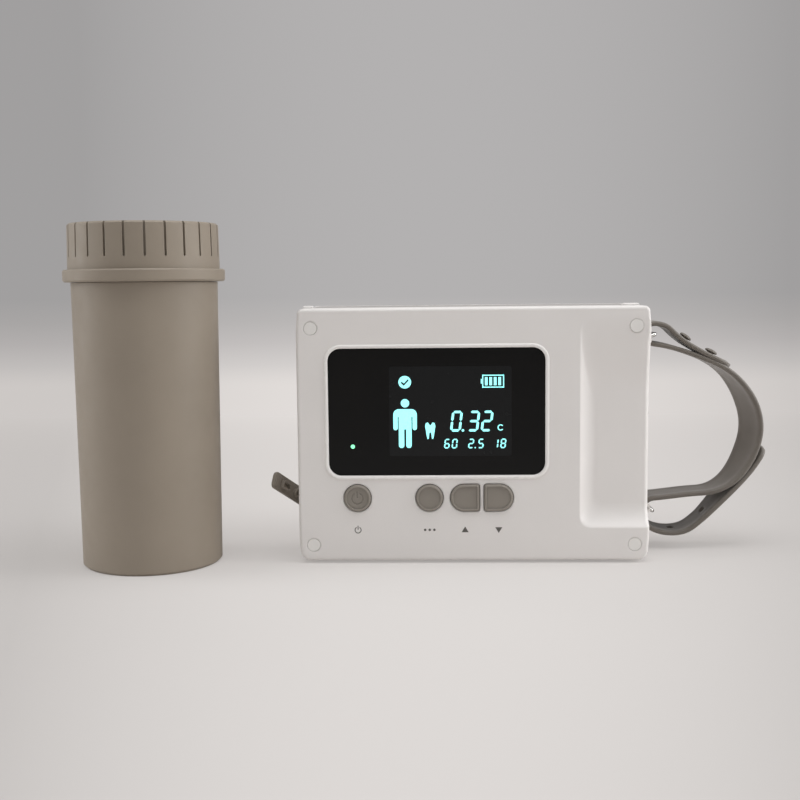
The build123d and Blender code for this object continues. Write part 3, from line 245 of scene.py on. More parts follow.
def metal(name, code, rough, brushed=None, scratches=0.08):
    """Metal with a brushed or drawn grain and a little tarnish."""
    m = Shader(name)
    base = linear(code)
    m.colour(m.mix(m.ramp(m.noise(120.0, 5.0), 0.45, 0.75), base, toned(base, 0.72)))
    m.surface.inputs["Metallic"].default_value = 1.0
    grain = m.noise(900.0, 2.0, stretch=brushed or (1.0, 1.0, 1.0))
    m.rough(m.ramp(grain, 0.3, 0.7, rough - scratches, rough + scratches))
    m.join(m.bump(grain, 0.00001, 0.5), m.surface.inputs["Normal"])
    return m.material


def glass(name, code, transmission, rough=0.03):
    """Clear or tinted glass, a little uneven in tone and polish."""
    m = Shader(name)
    base = linear(code)
    m.colour(m.mix(m.ramp(m.noise(30.0, 2.0), 0.3, 0.7), base, toned(base, 0.96)))
    m.rough(m.ramp(m.noise(400.0, 4.0), 0.5, 0.8, rough, rough + 0.04))
    m.surface.inputs["Transmission Weight"].default_value = transmission
    m.surface.inputs["IOR"].default_value = 1.5
    return m.material


def black_window(name):
    """Black gloss glass with the faintest fingerprints."""
    m = Shader(name)
    m.colour(m.mix(m.ramp(m.noise(22.0, 3.0), 0.35, 0.7), linear("#0a0a0a"), linear("#0e0d0c")))
    smear = m.ramp(m.noise(55.0, 6.0, stretch=(1.0, 1.0, 2.2)), 0.48, 0.72)
    m.rough(m.maths("ADD", m.maths("MULTIPLY", smear, 0.10), 0.10))
    m.surface.inputs["Specular IOR Level"].default_value = 0.16
    return m.material


def glow(name, code, strength):
    """Lit print of the display: an even colour, faintly uneven up close."""
    m = Shader(name)
    base = linear(code)
    lit = m.mix(m.ramp(m.noise(3000.0, 1.0), 0.35, 0.65), toned(base, 0.86), base)
    m.colour(lit)
    m.join(lit, m.surface.inputs["Emission Color"])
    m.surface.inputs["Emission Strength"].default_value = strength
    m.rough(0.4)
    return m.material


# Moulded: name, colour, roughness, grain height (m) and scale, mottling, scuffing with painted edge
# highlight, edge rounding (m), sheen
# Metal: name, colour, roughness, stretch of the brushing, scratches
MATERIALS = {
    "casing": moulded("casing_plastic", "#e5e1de", 0.46, 0.000035, 2400.0, 0.012, 0.06, 0.0011),
    "inlay": moulded("inlay_plastic", "#a8a3a0", 0.55, 0.00004, 1800.0, 0.05, 0.06, 0.0003),
    "window": black_window("window_glass"),
    "display": moulded("display_face", "#151515", 0.30, 0.00001, 900.0, 0.05, 0.0),
    "inner": moulded("inner_plastic", "#1d1d1e", 0.5, 0.00003, 1500.0, 0.08, 0.05),
    "board": moulded("board_laminate", "#123a24", 0.42, 0.00003, 900.0, 0.15, 0.05),
    "guide": glass("light_guide", "#d8fff0", 0.7),
    # The window's bead: the casing's plastic, painted paler as a painted highlight
    "rim_highlight": moulded("window_rim", "#efece9", 0.30, 0.00001, 2400.0, 0.01, 0.0),
    "cap": moulded("cap_plastic", "#e9e6e2", 0.50, 0.00004, 2000.0, 0.05, 0.08, 0.0003),
    "steel": metal("steel", "#9fa0a3", 0.32),
    "brass": metal("brass", "#b8934f", 0.30),
    "foot": moulded("foot_rubber", "#1b1b1b", 0.75, 0.00006, 1200.0, 0.15, 0.06),
    "flap": moulded("flap_rubber", "#8a8176", 0.62, 0.00004, 1500.0, 0.07, 0.05, 0.0003, 0.15),
    "bail": metal("bail_wire", "#d9d7d3", 0.16, (1.0, 6.0, 1.0), 0.05),
    "ear": moulded("ear_plastic", "#d9d5d1", 0.5, 0.00004, 2000.0, 0.04, 0.08, 0.0003),
    "strap": moulded("strap_silicone", "#665f57", 0.50, 0.00003, 1400.0, 0.05, 0.05, 0.0, 0.25),
    "stud": moulded("stud_plastic", "#6e675f", 0.42, 0.00002, 1500.0, 0.06, 0.05),
    "cone": moulded("cone_plastic", "#8f8476", 0.56, 0.00005, 2200.0, 0.035, 0.07, 0.0004),
    "lead": metal("lead", "#5f6267", 0.55),
    "disc": moulded("beam_disc", "#2b2b2c", 0.45, 0.00003, 1500.0, 0.06, 0.0),
    "aluminium": metal("aluminium", "#b7b8ba", 0.34, (1.0, 1.0, 12.0)),
    "tube": glass("tube_glass", "#e9f7f4", 0.9),
    "copper": metal("copper", "#b06a45", 0.30),
    "power": moulded("power_parts", "#20232b", 0.4, 0.00003, 900.0, 0.10, 0.06),
    "cell": moulded("cell_wrap", "#39506a", 0.28, 0.00001, 900.0, 0.05, 0.0),
    "button": moulded("button_plastic", "#898279", 0.50, 0.00004, 2000.0, 0.04, 0.07, 0.0003),
    "glow": glow("display_glow", "#9ffcfc", 0.85),
    "lamp": glow("status_glow", "#8dffc0", 1.0),
    "print": moulded("face_print", "#5c5854", 0.55, 0.00002, 1500.0, 0.05, 0.0),
    "panel_dark": moulded("display_panel", "#131415", 0.22, 0.00001, 900.0, 0.05, 0.0, level=0.2),
}

NODE_MATERIALS = {
    "casing": ("operator_cover", "main_housing"),
    "inlay": ("top_panel",),
    "window": ("display_window",),
    "display": ("display_module",),
    "inner": ("display_bracket", "battery_cradle", "tact_switches", "dc_jack", "buzzer", "trigger_switch"),
    "board": ("control_board", "power_board", "port_board"),
    "guide": ("status_light",),
    "cap": ("screw_caps",),
    "steel": ("cover_screws", "board_screws", "socket_screws", "tank_screws", "power_screws", "usb_port",
              "tube_cathode"),
    "brass": ("screw_inserts",),
    "foot": ("feet",),
    "flap": ("port_flap", "flap_tether"),
    "bail": ("strap_ring_upper", "strap_ring_lower"),
    "ear": ("ring_ears",),
    "strap": ("hand_strap",),
    "stud": ("strap_studs",),
    "cone": ("cone_tube", "cone_lock_ring", "cone_retainer", "cone_socket"),
    "lead": ("cone_liner", "tube_shield"),
    "disc": ("beam_window",),
    "aluminium": ("beam_filter", "tube_tank", "tank_lid"),
    "tube": ("xray_tube",),
    "copper": ("tube_anode",),
    "power": ("power_parts",),
    "cell": ("battery_cells",),
    "button": ("power_button", "mode_button", "up_button", "down_button", "exposure_trigger"),
}
for key, members in NODE_MATERIALS.items():
    for member in members:
        mesh = nodes[member].data
        mesh.materials.clear()
        mesh.materials.append(MATERIALS[key])


# Mesh helpers
def new_piece(name, bm, material, smooth_angle=40.0):
    """An object from a finished bmesh."""
    bmesh.ops.recalc_face_normals(bm, faces=bm.faces)
    mesh = bpy.data.meshes.new(name)
    bm.to_mesh(mesh)
    bm.free()
    mesh.materials.append(MATERIALS[material])
    mesh.shade_smooth()
    mesh.set_sharp_from_angle(angle=math.radians(smooth_angle))
    piece = bpy.data.objects.new(name, mesh)
    bpy.context.scene.collection.objects.link(piece)
    return piece


def raised_print(bm, outline, y_front, thick):
    """A thin closed slab of print whose outline is given in X and Z millimetres."""
    front = [bm.verts.new(at(x, y_front, z)) for x, z in outline]
    back = [bm.verts.new(at(x, y_front + thick, z)) for x, z in outline]
    bm.faces.new(front)
    bm.faces.new(reversed(back))
    count = len(outline)
    for i in range(count):
        j = (i + 1) % count
        bm.faces.new((front[i], back[i], back[j], front[j]))


def arc_points(x, z, radius, start, end, steps):
    """Points on an arc, angles in degrees."""
    angles = [math.radians(start + (end - start) * k / steps) for k in range(steps + 1)]
    return [(x + radius * math.cos(angle), z + radius * math.sin(angle)) for angle in angles]


def ring_band(x, z, radius, width, start, end, steps):
    """A curved band between two radii."""
    return (arc_points(x, z, radius + width / 2, start, end, steps)
            + arc_points(x, z, radius - width / 2, end, start, steps))


def join_rings(bm, rings):
    """Walls from each ring of vertices to the next."""
    for a, b in zip(rings, rings[1:]):
        for i in range(len(a)):
            j = (i + 1) % len(a)
            bm.faces.new((a[i], a[j], b[j], b[i]))


def close_ends(bm, rings):
    """Flat faces over the first and the last ring."""
    bm.faces.new(rings[0])
    bm.faces.new(list(reversed(rings[-1])))


def bead(bm, loop, y, half_width, height, steps=6):
    """A rounded bead along a closed loop of X and Z points, standing out from a face at y."""
    count = len(loop)
    rows = []
    for i, (x, z) in enumerate(loop):
        before = Vector(loop[i - 1])
        after = Vector(loop[(i + 1) % count])
        run = (after - before).normalized()
        out = Vector((run.y, -run.x))
        row = []
        for k in range(steps + 1):
            angle = math.pi * k / steps
            across = half_width * math.cos(angle)
            rise = height * math.sin(angle)
            row.append(bm.verts.new(at(x + out.x * across, y - rise, z + out.y * across)))
        rows.append(row)
    for a, b in zip(rows, rows[1:] + rows[:1]):
        for k in range(steps):
            bm.faces.new((a[k], a[k + 1], b[k + 1], b[k]))
        bm.faces.new((a[steps], a[0], b[0], b[steps]))


def rounded_box(x, z, half_x, half_z, radius, steps=5):
    """The outline of a box with round corners, about its middle."""
    reach_x = half_x - radius
    reach_z = half_z - radius
    points = []
    for side_x, side_z, start in ((1, 1, 0), (-1, 1, 90), (-1, -1, 180), (1, -1, 270)):
        points += arc_points(x + side_x * reach_x, z + side_z * reach_z, radius, start, start + 90, steps)
    return points


def capsule(x, z_top, z_foot, half):
    """An upright stroke, flat at the top and round at the foot."""
    return [(x - half, z_top)] + arc_points(x, z_foot + half, half, 180, 360, 10) + [(x + half, z_top)]


def bar(x0, z0, x1, z1, width):
    """A straight stroke with square ends."""
    run = Vector((x1 - x0, z1 - z0)).normalized()
    side = Vector((-run.y, run.x)) * width / 2
    return [(x0 + side.x, z0 + side.y), (x0 - side.x, z0 - side.y),
            (x1 - side.x, z1 - side.y), (x1 + side.x, z1 + side.y)]


# Display: plain digits and common symbols, lit, on the glass
GLASS_Y = 0.8
PRINT_GAP = 0.03
PRINT_THICK = 0.03
DIGIT_SLANT = 0.12
DIGIT_GAP = 0.12
# The segments of each digit that is shown, from a at the top round to f, with g in the middle
SEGMENTS = {
    "0": "abcdef", "1": "bc", "2": "abged", "3": "abgcd", "5": "afgcd", "6": "afgedc", "8": "abcdefg",
}
# The dot of a number, as shares of the pitch and of the stroke
DOT_BACK = 0.12
DOT_STEP = 0.30
DOT_SIZE = 0.55


def digit_strokes(char, x, z, width, height, stroke):
    """Seven-segment strokes with mitred ends, slanted to the right."""
    gap = stroke * DIGIT_GAP
    half = height / 2
    ends = {
        "a": ((0, height), (width, height)), "g": ((0, half), (width, half)), "d": ((0, 0), (width, 0)),
        "f": ((0, half), (0, height)), "b": ((width, half), (width, height)),
        "e": ((0, 0), (0, half)), "c": ((width, 0), (width, half)),
    }
    outlines = []
    for segment in SEGMENTS[char]:
        (x0, z0), (x1, z1) = ends[segment]
        run = Vector((x1 - x0, z1 - z0)).normalized()
        side = Vector((-run.y, run.x)) * stroke / 2
        a = Vector((x0, z0)) + run * gap
        b = Vector((x1, z1)) - run * gap
        tip = stroke / 2
        near = a + run * tip
        far = b - run * tip
        points = [a, near + side, far + side, b, far - side, near - side]
        outlines.append([(x + q.x + q.y * DIGIT_SLANT, z + q.y) for q in points])
    return outlines


def write_number(text, x, z, width, height, stroke, pitch):
    """Outlines of a number; a dot takes less room than a digit."""
    outlines = []
    for char in text:
        if char == ".":
            outlines.append(arc_points(x - pitch * DOT_BACK, z, stroke * DOT_SIZE, 0, 330, 11))
            x += pitch * DOT_STEP
        else:
            outlines += digit_strokes(char, x, z, width, height, stroke)
            x += pitch
    return outlines


def battery_symbol(x0, z0, x1, z1):
    """A battery on its side: a frame, a contact at the left and four cells."""
    stroke = 0.5
    contact_far = 0.9
    contact_near = 0.3
    contact_height = 2.2
    cells = 4
    cell_start = 1.0
    cell_slack = 1.4
    cell_share = 0.62
    cell_inset = 1.7
    over = stroke / 2
    shapes = [bar(x0, z0, x1, z0, stroke), bar(x0, z1, x1, z1, stroke)]
    shapes += [bar(x, z0 - over, x, z1 + over, stroke) for x in (x0, x1)]
    middle = (z0 + z1) / 2
    shapes.append(bar(x0 - contact_far, middle, x0 - contact_near, middle, contact_height))
    pitch = (x1 - x0 - cell_slack) / cells
    for k in range(cells):
        left = x0 + cell_start + k * pitch
        shapes.append(bar(left, middle, left + pitch * cell_share, middle, (z1 - z0) - cell_inset))
    return shapes


def person_symbol(x, z_head, z_top, z_foot, half):
    """A standing person in plain shapes: head, shoulders, trunk, arms and legs."""
    head = 2.0
    tall = z_top - z_foot
    shoulder = z_top - 0.2 * tall
    hip = z_top - 0.52 * tall
    arm = 1.05
    leg = 1.3
    torso = 3.05
    corner = 2.6
    yoke = ([(x + half, shoulder)] + arc_points(x + half - corner, z_top - corner, corner, 0, 90, 7)
            + arc_points(x - half + corner, z_top - corner, corner, 90, 180, 7) + [(x - half, shoulder)])
    shapes = [arc_points(x, z_head, head, 0, 345, 22), yoke]
    shapes.append([(x - torso, shoulder), (x - torso, hip), (x + torso, hip), (x + torso, shoulder)])
    for side in (-1, 1):
        shapes.append(capsule(x + side * (half - arm), shoulder, z_foot + 0.46 * tall, arm))
        shapes.append(capsule(x + side * (torso - leg), hip, z_foot, leg))
    return shapes


def tooth_symbol(x, z, width, height):
    """A plain molar: two cusps above, two roots below."""
    w = width / 2
    h = height / 2
    left = [
        (-0.1, 0.62), (-0.45, 0.95), (-0.85, 0.88), (-1.0, 0.5), (-0.85, 0.0),
        (-0.72, -0.55), (-0.55, -1.0), (-0.3, -0.95), (-0.2, -0.35), (0.0, -0.15),
    ]
    outline = [(x + a * w, z + b * h) for a, b in left]
    outline += [(x - a * w, z + b * h) for a, b in reversed(left[:-1])]
    return [outline]


# Places on the display, in the part's frame
TICK_X = -32.2
TICK_Z = 87.0
TICK_CORNERS = [(-1.45, 0.3), (-1.95, -0.25), (-0.45, -1.75), (1.95, 0.95), (1.45, 1.45), (-0.45, -0.6)]
TICK_THICK = 0.02
DISC_RADIUS = 3.0
BATTERY_BOX = (4.6, 84.4, 14.4, 90.0)
# Middle, middle of the head, shoulders, feet and half width
PERSON = (-32.2, 77.0, 74.2, 55.6, 5.6)
# Middle, half way up, width and height
TOOTH = (-20.3, 63.9, 4.9, 8.2)
# Left, foot, width, height, stroke and pitch of the large number
LARGE_NUMBER = (-10.4, 63.9, 4.0, 8.8, 1.15, 6.3)
# Middle, radius and stroke of the small open ring beside it
UNIT_MARK = (13.0, 65.2, 1.25, 0.5)
# The small numbers with their left edges, then their foot, width, height, stroke and pitch
SMALL_NUMBERS = (("60", -13.6), ("2.5", -2.2), ("18", 9.4))
SMALL_SIZES = (55.6, 2.0, 4.0, 0.62, 3.6)
AREA_LOW = (-39.7, 51.7)
AREA_HIGH = (18.2, 94.4)
AREA_CORNER = 1.2
AREA_THICK = 0.012
STATUS_X = -57.2
STATUS_Z = 56.4
STATUS_RADIUS = 1.0


def make_tick():
    """The dark tick on the lit disc."""
    bm = bmesh.new()
    outline = [(TICK_X + x, TICK_Z + z) for x, z in TICK_CORNERS]
    raised_print(bm, outline, GLASS_Y - PRINT_GAP - TICK_THICK, TICK_THICK)
    piece = new_piece("display_tick", bm, "panel_dark")
    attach(piece, "unit")


def make_display_print():
    """The lit symbols and numbers, just above the glass."""
    bm = bmesh.new()
    outlines = [arc_points(TICK_X, TICK_Z, DISC_RADIUS, 0, 348, 29)]
    outlines += battery_symbol(*BATTERY_BOX)
    outlines += person_symbol(*PERSON)
    outlines += tooth_symbol(*TOOTH)
    outlines += write_number("0.32", *LARGE_NUMBER)
    outlines += [ring_band(*UNIT_MARK, 40, 320, 12)]
    for text, left in SMALL_NUMBERS:
        outlines += write_number(text, left, *SMALL_SIZES)
    for outline in outlines:
        raised_print(bm, outline, GLASS_Y - PRINT_GAP, PRINT_THICK)
    piece = new_piece("display_print", bm, "glow")
    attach(piece, "unit")


def make_display_area():
    """The display's active area: a slightly paler sheet under the print."""
    bm = bmesh.new()
    x0, z0 = AREA_LOW
    x1, z1 = AREA_HIGH
    outline = rounded_box((x0 + x1) / 2, (z0 + z1) / 2, (x1 - x0) / 2, (z1 - z0) / 2, AREA_CORNER, 6)
    raised_print(bm, outline, GLASS_Y - AREA_THICK, AREA_THICK)
    piece = new_piece("display_area", bm, "panel_dark")
    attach(piece, "unit")


def make_status_dot():
    """The small green light at the left of the display."""
    bm = bmesh.new()
    outline = arc_points(STATUS_X, STATUS_Z, STATUS_RADIUS, 0, 345, 23)
    raised_print(bm, outline, GLASS_Y - PRINT_GAP, PRINT_THICK)
    piece = new_piece("status_dot", bm, "lamp")
    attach(piece, "unit")


# Marks printed on the face under the buttons
MARK_Z = 16.2
MARK_STROKE = 0.42
MARK_THICK = 0.02
POWER_X = -55.2
POWER_RADIUS = 1.45
STEM_FOOT = 0.2
STEM_TOP = 2.1
MODE_X = -20.9
MODE_PITCH = 2.2
MODE_RADIUS = 0.62
UP_X = -4.0
DOWN_X = 12.0
ARROW_HALF = 1.7
ARROW_BACK = 1.2
ARROW_TIP = 1.6


def make_face_marks():
    """Printed symbols under the buttons: power, mode, more and less."""
    bm = bmesh.new()
    z = MARK_Z
    outlines = [ring_band(POWER_X, z, POWER_RADIUS, MARK_STROKE, 118, 422, 22)]
    outlines.append(bar(POWER_X, z + STEM_FOOT, POWER_X, z + STEM_TOP, MARK_STROKE))
    for k in range(3):
        outlines.append(arc_points(MODE_X + (k - 1) * MODE_PITCH, z, MODE_RADIUS, 0, 330, 11))
    outlines.append([(UP_X - ARROW_HALF, z - ARROW_BACK), (UP_X + ARROW_HALF, z - ARROW_BACK),
                     (UP_X, z + ARROW_TIP)])
    outlines.append([(DOWN_X - ARROW_HALF, z + ARROW_BACK), (DOWN_X, z - ARROW_TIP),
                     (DOWN_X + ARROW_HALF, z + ARROW_BACK)])
    for outline in outlines:
        raised_print(bm, outline, -MARK_THICK, MARK_THICK)
    piece = new_piece("face_marks", bm, "print")
    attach(piece, "unit")


make_display_area()
make_display_print()
make_tick()
make_status_dot()
make_face_marks()

# Bright edges: the bead round the window, its plastic painted paler than the casing as a painted highlight,
# and the raised ring on each button
RIM_HALF = 0.95
RIM_HEIGHT = 0.75
RIM_BASE_Y = 0.12
WINDOW_CORNER = 6.0
BUTTON_RING_INSET = 1.75
BUTTON_RING_HALF = 0.50
BUTTON_RING_HEIGHT = 0.42
BUTTON_RING_SINK = 0.06
BUTTON_RING_CORNER = 0.8
SAME_PLACE = 0.05


def box_in_part(node):
    """A node's box in the part's frame, as x0, y0, z0, x1, y1, z1 in millimetres."""
    low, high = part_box(node)
    low = (low - ORIGIN) / MM
    high = (high - ORIGIN) / MM
    return low.x, low.y, low.z, high.x, high.y, high.z


def make_window_rim():
    """The bead on the cover round the window, painted paler than the cover as a painted highlight."""
    x0, _, z0, x1, _, z1 = box_in_part("display_window")
    bm = bmesh.new()
    half_x = (x1 - x0) / 2 + RIM_HALF
    half_z = (z1 - z0) / 2 + RIM_HALF
    loop = rounded_box((x0 + x1) / 2, (z0 + z1) / 2, half_x, half_z, WINDOW_CORNER + RIM_HALF, 10)
    bead(bm, loop, RIM_BASE_Y, RIM_HALF, RIM_HEIGHT)
    piece = new_piece("window_rim", bm, "rim_highlight", 70.0)
    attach(piece, "unit")


def button_loop(node, round_left, round_right):
    """The ring's line on a button: its outline moved in, with round or nearly square ends."""
    x0, _, z0, x1, _, z1 = box_in_part(node)
    inset = BUTTON_RING_INSET
    radius = (z1 - z0) / 2 - inset
    left = radius if round_left else BUTTON_RING_CORNER
    right = radius if round_right else BUTTON_RING_CORNER
    x0, z0, x1, z1 = x0 + inset, z0 + inset, x1 - inset, z1 - inset
    return (arc_points(x1 - right, z1 - right, right, 0, 90, 9)
            + arc_points(x0 + left, z1 - left, left, 90, 180, 9)
            + arc_points(x0 + left, z0 + left, left, 180, 270, 9)
            + arc_points(x1 - right, z0 + right, right, 270, 360, 9))


# Each button, with whether its left and its right end are round
BUTTON_ENDS = (("power_button", True, True), ("mode_button", True, True), ("up_button", True, False),
               ("down_button", False, True))


def make_button_rings():
    """The raised ring near the edge of each button's face."""
    for node, round_left, round_right in BUTTON_ENDS:
        front = box_in_part(node)[1]
        loop = button_loop(node, round_left, round_right)
        loop = [p for i, p in enumerate(loop) if (Vector(p) - Vector(loop[i - 1])).length > SAME_PLACE]
        bm = bmesh.new()
        bead(bm, loop, front + BUTTON_RING_SINK, BUTTON_RING_HALF, BUTTON_RING_HEIGHT)
        piece = new_piece(node + "_ring", bm, "button", 70.0)
        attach(piece, node)


make_window_rim()
make_button_rings()

# Hand strap: its route's corners, close to the solid's, in millimetres out from the side wall and up
STRAP_ROWS = [
    (43.9, 91.0), (25.7, 100.6), (17.8, 106.4), (12.2, 112.3), (2.6, 113.0), (1.9, 103.0), (12.8, 101.8),
    (30.7, 95.8), (42.6, 89.4), (51.4, 79.6), (57.4, 67.3), (58.0, 55.2), (52.6, 42.2), (45.6, 33.4),
    (36.5, 28.6), (25.0, 27.9), (12.0, 26.2), (2.1, 25.2), (2.0, 12.4), (11.5, 7.9), (22.5, 8.2),
    (29.7, 13.3), (37.4, 21.6), (49.6, 34.6), (57.4, 44.6), (61.2, 50.4),
]
STRAP_HALF_WIDTH = 10.0
STRAP_THICK = 2.4
STRAP_Y = 37.0
STRAP_BAR_X = 6.73
STRAP_STEPS = 9
# The band's turn near the wall and far from it, and how far out the change starts and ends
SWING_NEAR = math.radians(-1.0)
SWING_FAR = math.radians(18.3)
SWING_START = 31.1
SWING_END = 54.7
SWING_STEPS = 24
STRAP_TIP = 7.0
STRAP_TIP_SHARE = 0.55
# Runs of the route that carry a stud or a slot
STUD_RUNS = (0, 1, 22, 23)
SLOT_RUNS = (19, 21)


def swing_angle(out):
    """How far the band has turned about the vertical at a distance out from the wall."""
    share = min(max((out - SWING_START) / (SWING_END - SWING_START), 0.0), 1.0)
    return SWING_NEAR + (SWING_FAR - SWING_NEAR) * share


def swing_shift(out):
    """Sideways shift of the band's middle at a distance out from the wall."""
    start = STRAP_BAR_X
    if out <= start:
        return (out - start) * math.tan(SWING_NEAR)
    step = (out - start) / SWING_STEPS
    return sum(math.sin(swing_angle(start + (k + 0.5) * step)) * step for k in range(SWING_STEPS))


def swung(out, across, z):
    """A point of the flat route, given its offset across the band, after the swing."""
    angle = swing_angle(out)
    x = HALF_WIDTH + out - across * math.sin(angle)
    y = STRAP_Y + swing_shift(out) + across * math.cos(angle)
    return at(x, y, z)


def quadratic_route(points, steps):
    """A smooth curve that touches the middle of each run, with its direction at each sample."""
    samples = []
    for i in range(1, len(points) - 1):
        p0 = (Vector(points[i - 1]) + Vector(points[i])) / 2 if i > 1 else Vector(points[0])
        p1 = Vector(points[i])
        p2 = (Vector(points[i]) + Vector(points[i + 1])) / 2 if i < len(points) - 2 else Vector(points[-1])
        for k in range(steps):
            t = k / steps
            place = p0 * (1 - t) ** 2 + p1 * 2 * t * (1 - t) + p2 * t * t
            way = (p1 - p0) * 2 * (1 - t) + (p2 - p1) * 2 * t
            samples.append((place, way.normalized()))
    samples.append((Vector(points[-1]), (Vector(points[-1]) - Vector(points[-2])).normalized()))
    return samples


def edge_round(middle, radius, start):
    """Points round a band's edge, between its two faces."""
    angles = [math.radians(start - 30 * k) for k in range(1, 6)]
    return [(middle + radius * math.cos(angle), radius * math.sin(angle)) for angle in angles]


def band_profile(half_width, half_thick):
    """A flat band's section: rounded edges and a faint raised border along each side."""
    border = 1.6
    slope = 0.7
    sink = 0.12
    rim_out = half_width - half_thick
    rim_in = rim_out - border
    floor_out = rim_in - slope
    floor_in = half_width * 0.4
    across = [-rim_out, -rim_in, -floor_out, -floor_in, 0.0, floor_in, floor_out, rim_in, rim_out]
    rise = [0.0, 0.0] + [-sink] * 5 + [0.0, 0.0]
    top = [(a, half_thick + r) for a, r in zip(across, rise)]
    bottom = [(a, -h) for a, h in reversed(top)]
    return top + edge_round(rim_out, half_thick, 90) + bottom + edge_round(-rim_out, half_thick, 270)


def make_strap():
    """The band, swept along its route and narrowed to a round tip at both ends."""
    samples = quadratic_route(STRAP_ROWS, STRAP_STEPS)
    lengths = [0.0]
    for (a, _), (b, _) in zip(samples, samples[1:]):
        lengths.append(lengths[-1] + (b - a).length)
    total = lengths[-1]
    bm = bmesh.new()
    rings = []
    for (place, way), run in zip(samples, lengths):
        near_end = min(run, total - run)
        narrow = 1.0
        if near_end < STRAP_TIP:
            along_tip = (STRAP_TIP - near_end) / STRAP_TIP
            narrow = 1.0 - (1 - math.sqrt(max(0.0, 1 - along_tip ** 2))) * STRAP_TIP_SHARE
        half = STRAP_HALF_WIDTH * narrow
        normal = Vector((-way.y, way.x))
        ring = []
        for across, off in band_profile(half, STRAP_THICK / 2):
            point = place + normal * off
            ring.append(bm.verts.new(swung(point.x, across, point.y)))
        rings.append(ring)
    join_rings(bm, rings)
    close_ends(bm, rings)
    piece = new_piece("strap_band", bm, "strap", 50.0)
    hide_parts("hand_strap")
    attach(piece, "unit")
    return piece


def run_middle(index):
    """The middle of one run of the route, the outward way and the way along, after the swing."""
    a = Vector(STRAP_ROWS[index])
    b = Vector(STRAP_ROWS[index + 1])
    middle = (a + b) / 2
    way = (b - a).normalized()
    outward = Vector((way.y, -way.x))
    centre = swung(middle.x, 0.0, middle.y)
    step = 0.5
    ahead = middle + way * step
    along = (swung(ahead.x, 0.0, ahead.y) - centre).normalized()
    out_point = middle + outward * step
    side = (swung(middle.x, step, middle.y) - centre).normalized()
    normal = side.cross(along)
    if normal.dot(swung(out_point.x, 0.0, out_point.y) - centre) < 0:
        normal = -normal
    return centre, normal.normalized(), along


def turned_profile(bm, profile, steps, matrix):
    """A lathe-turned solid about the local Z axis; the profile's ends lie on the axis."""
    angles = [2 * math.pi * k / steps for k in range(steps)]
    rings = []
    for radius, height in profile:
        if radius == 0:
            rings.append([bm.verts.new(matrix @ Vector((0, 0, height)))])
            continue
        places = [Vector((radius * math.cos(angle), radius * math.sin(angle), height)) for angle in angles]
        rings.append([bm.verts.new(matrix @ place) for place in places])
    for a, b in zip(rings, rings[1:]):
        for k in range(steps):
            j = (k + 1) % steps
            if len(a) == 1:
                bm.faces.new((a[0], b[k], b[j]))
            elif len(b) == 1:
                bm.faces.new((a[k], a[j], b[0]))
            else:
                bm.faces.new((a[k], a[j], b[j], b[k]))


def frame_matrix(centre, normal, along):
    """A placing matrix whose Z is the normal and X runs along, scaled from millimetres."""
    side = normal.cross(along).normalized()
    along = side.cross(normal).normalized()
    turn = Matrix((along, side, normal)).transposed().to_4x4()
    return Matrix.Translation(centre) @ turn @ Matrix.Scale(MM, 4)


# A stud's radius and height from the band's face, in millimetres
STUD_PROFILE = [(0.0, 2.55), (1.2, 2.52), (2.1, 2.36), (2.8, 2.05), (3.2, 1.6), (3.2, 1.3), (2.8, 1.0),
                (1.8, 0.8), (1.6, 0.3), (1.6, -2.4), (0.0, -2.4)]
STUD_GAP = 0.05
STUD_STEPS = 28


def make_studs():
    """The studs that hold the strap's two folded ends."""
    bm = bmesh.new()
    for index in STUD_RUNS:
        centre, normal, along = run_middle(index)
        base = frame_matrix(centre + normal * (STRAP_THICK / 2 + STUD_GAP) * MM, normal, along)
        turned_profile(bm, STUD_PROFILE, STUD_STEPS, base)
    piece = new_piece("strap_stud_heads", bm, "stud", 50.0)
    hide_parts("strap_studs")
    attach(piece, "unit")


# A slot's end radius, how far its ends' centres lie from its middle, and the cutter's reach to each side
SLOT_RADIUS = 1.6
SLOT_HALF = 0.4
SLOT_REACH = 3.0


def make_strap_slots(band):
    """Two adjusting slots, cut through the lower strip of the band."""
    for index in SLOT_RUNS:
        centre, normal, along = run_middle(index)
        bm = bmesh.new()
        outline = arc_points(0.0, SLOT_HALF, SLOT_RADIUS, 0, 180, 10)
        outline += arc_points(0.0, -SLOT_HALF, SLOT_RADIUS, 180, 360, 10)
        base = frame_matrix(centre, normal, along)
        top = [bm.verts.new(base @ Vector((x, y, SLOT_REACH))) for x, y in outline]
        low = [bm.verts.new(base @ Vector((x, y, -SLOT_REACH))) for x, y in outline]
        bm.faces.new(top)
        bm.faces.new(list(reversed(low)))
        for i in range(len(outline)):
            j = (i + 1) % len(outline)
            bm.faces.new((top[i], low[i], low[j], top[j]))
        cutter = new_piece("slot_cutter", bm, "strap")
        modifier = band.modifiers.new("slot", "BOOLEAN")
        modifier.operation = "DIFFERENCE"
        modifier.solver = "EXACT"
        modifier.object = cutter
        apply_modifiers(band)
        bpy.data.objects.remove(cutter)


def apply_modifiers(piece):
    """Turns a piece's modifiers into its mesh."""
    graph = bpy.context.evaluated_depsgraph_get()
    mesh = bpy.data.meshes.new_from_object(piece.evaluated_get(graph))
    piece.modifiers.clear()
    piece.data = mesh


strap_piece = make_strap()
make_strap_slots(strap_piece)
make_studs()

# Port flap: one rubber moulding from its root in the wall to the grip lip, bent at the neck
HINGE_MM = Vector((-83.6, 42.0, 22.55))
FLAP_AXIS = Vector((-0.745, 0.084, -0.664)).normalized()
FLAP_OPEN = math.radians(38.6)
FLAP_LENGTH = 33.0
FLAP_HALF = 4.25
FLAP_THICK = 1.8
FLAP_CORNER = 1.6
FLAP_CORNER_STEPS = 4
SECTION_ROUND = 0.7
SECTION_SMALL = 0.25
# Rows along the plate, as places from the hinge
FLAP_PLATE = (-30.0, -27.8, -25.0, -20.0, -15.0, -10.0, -6.5)
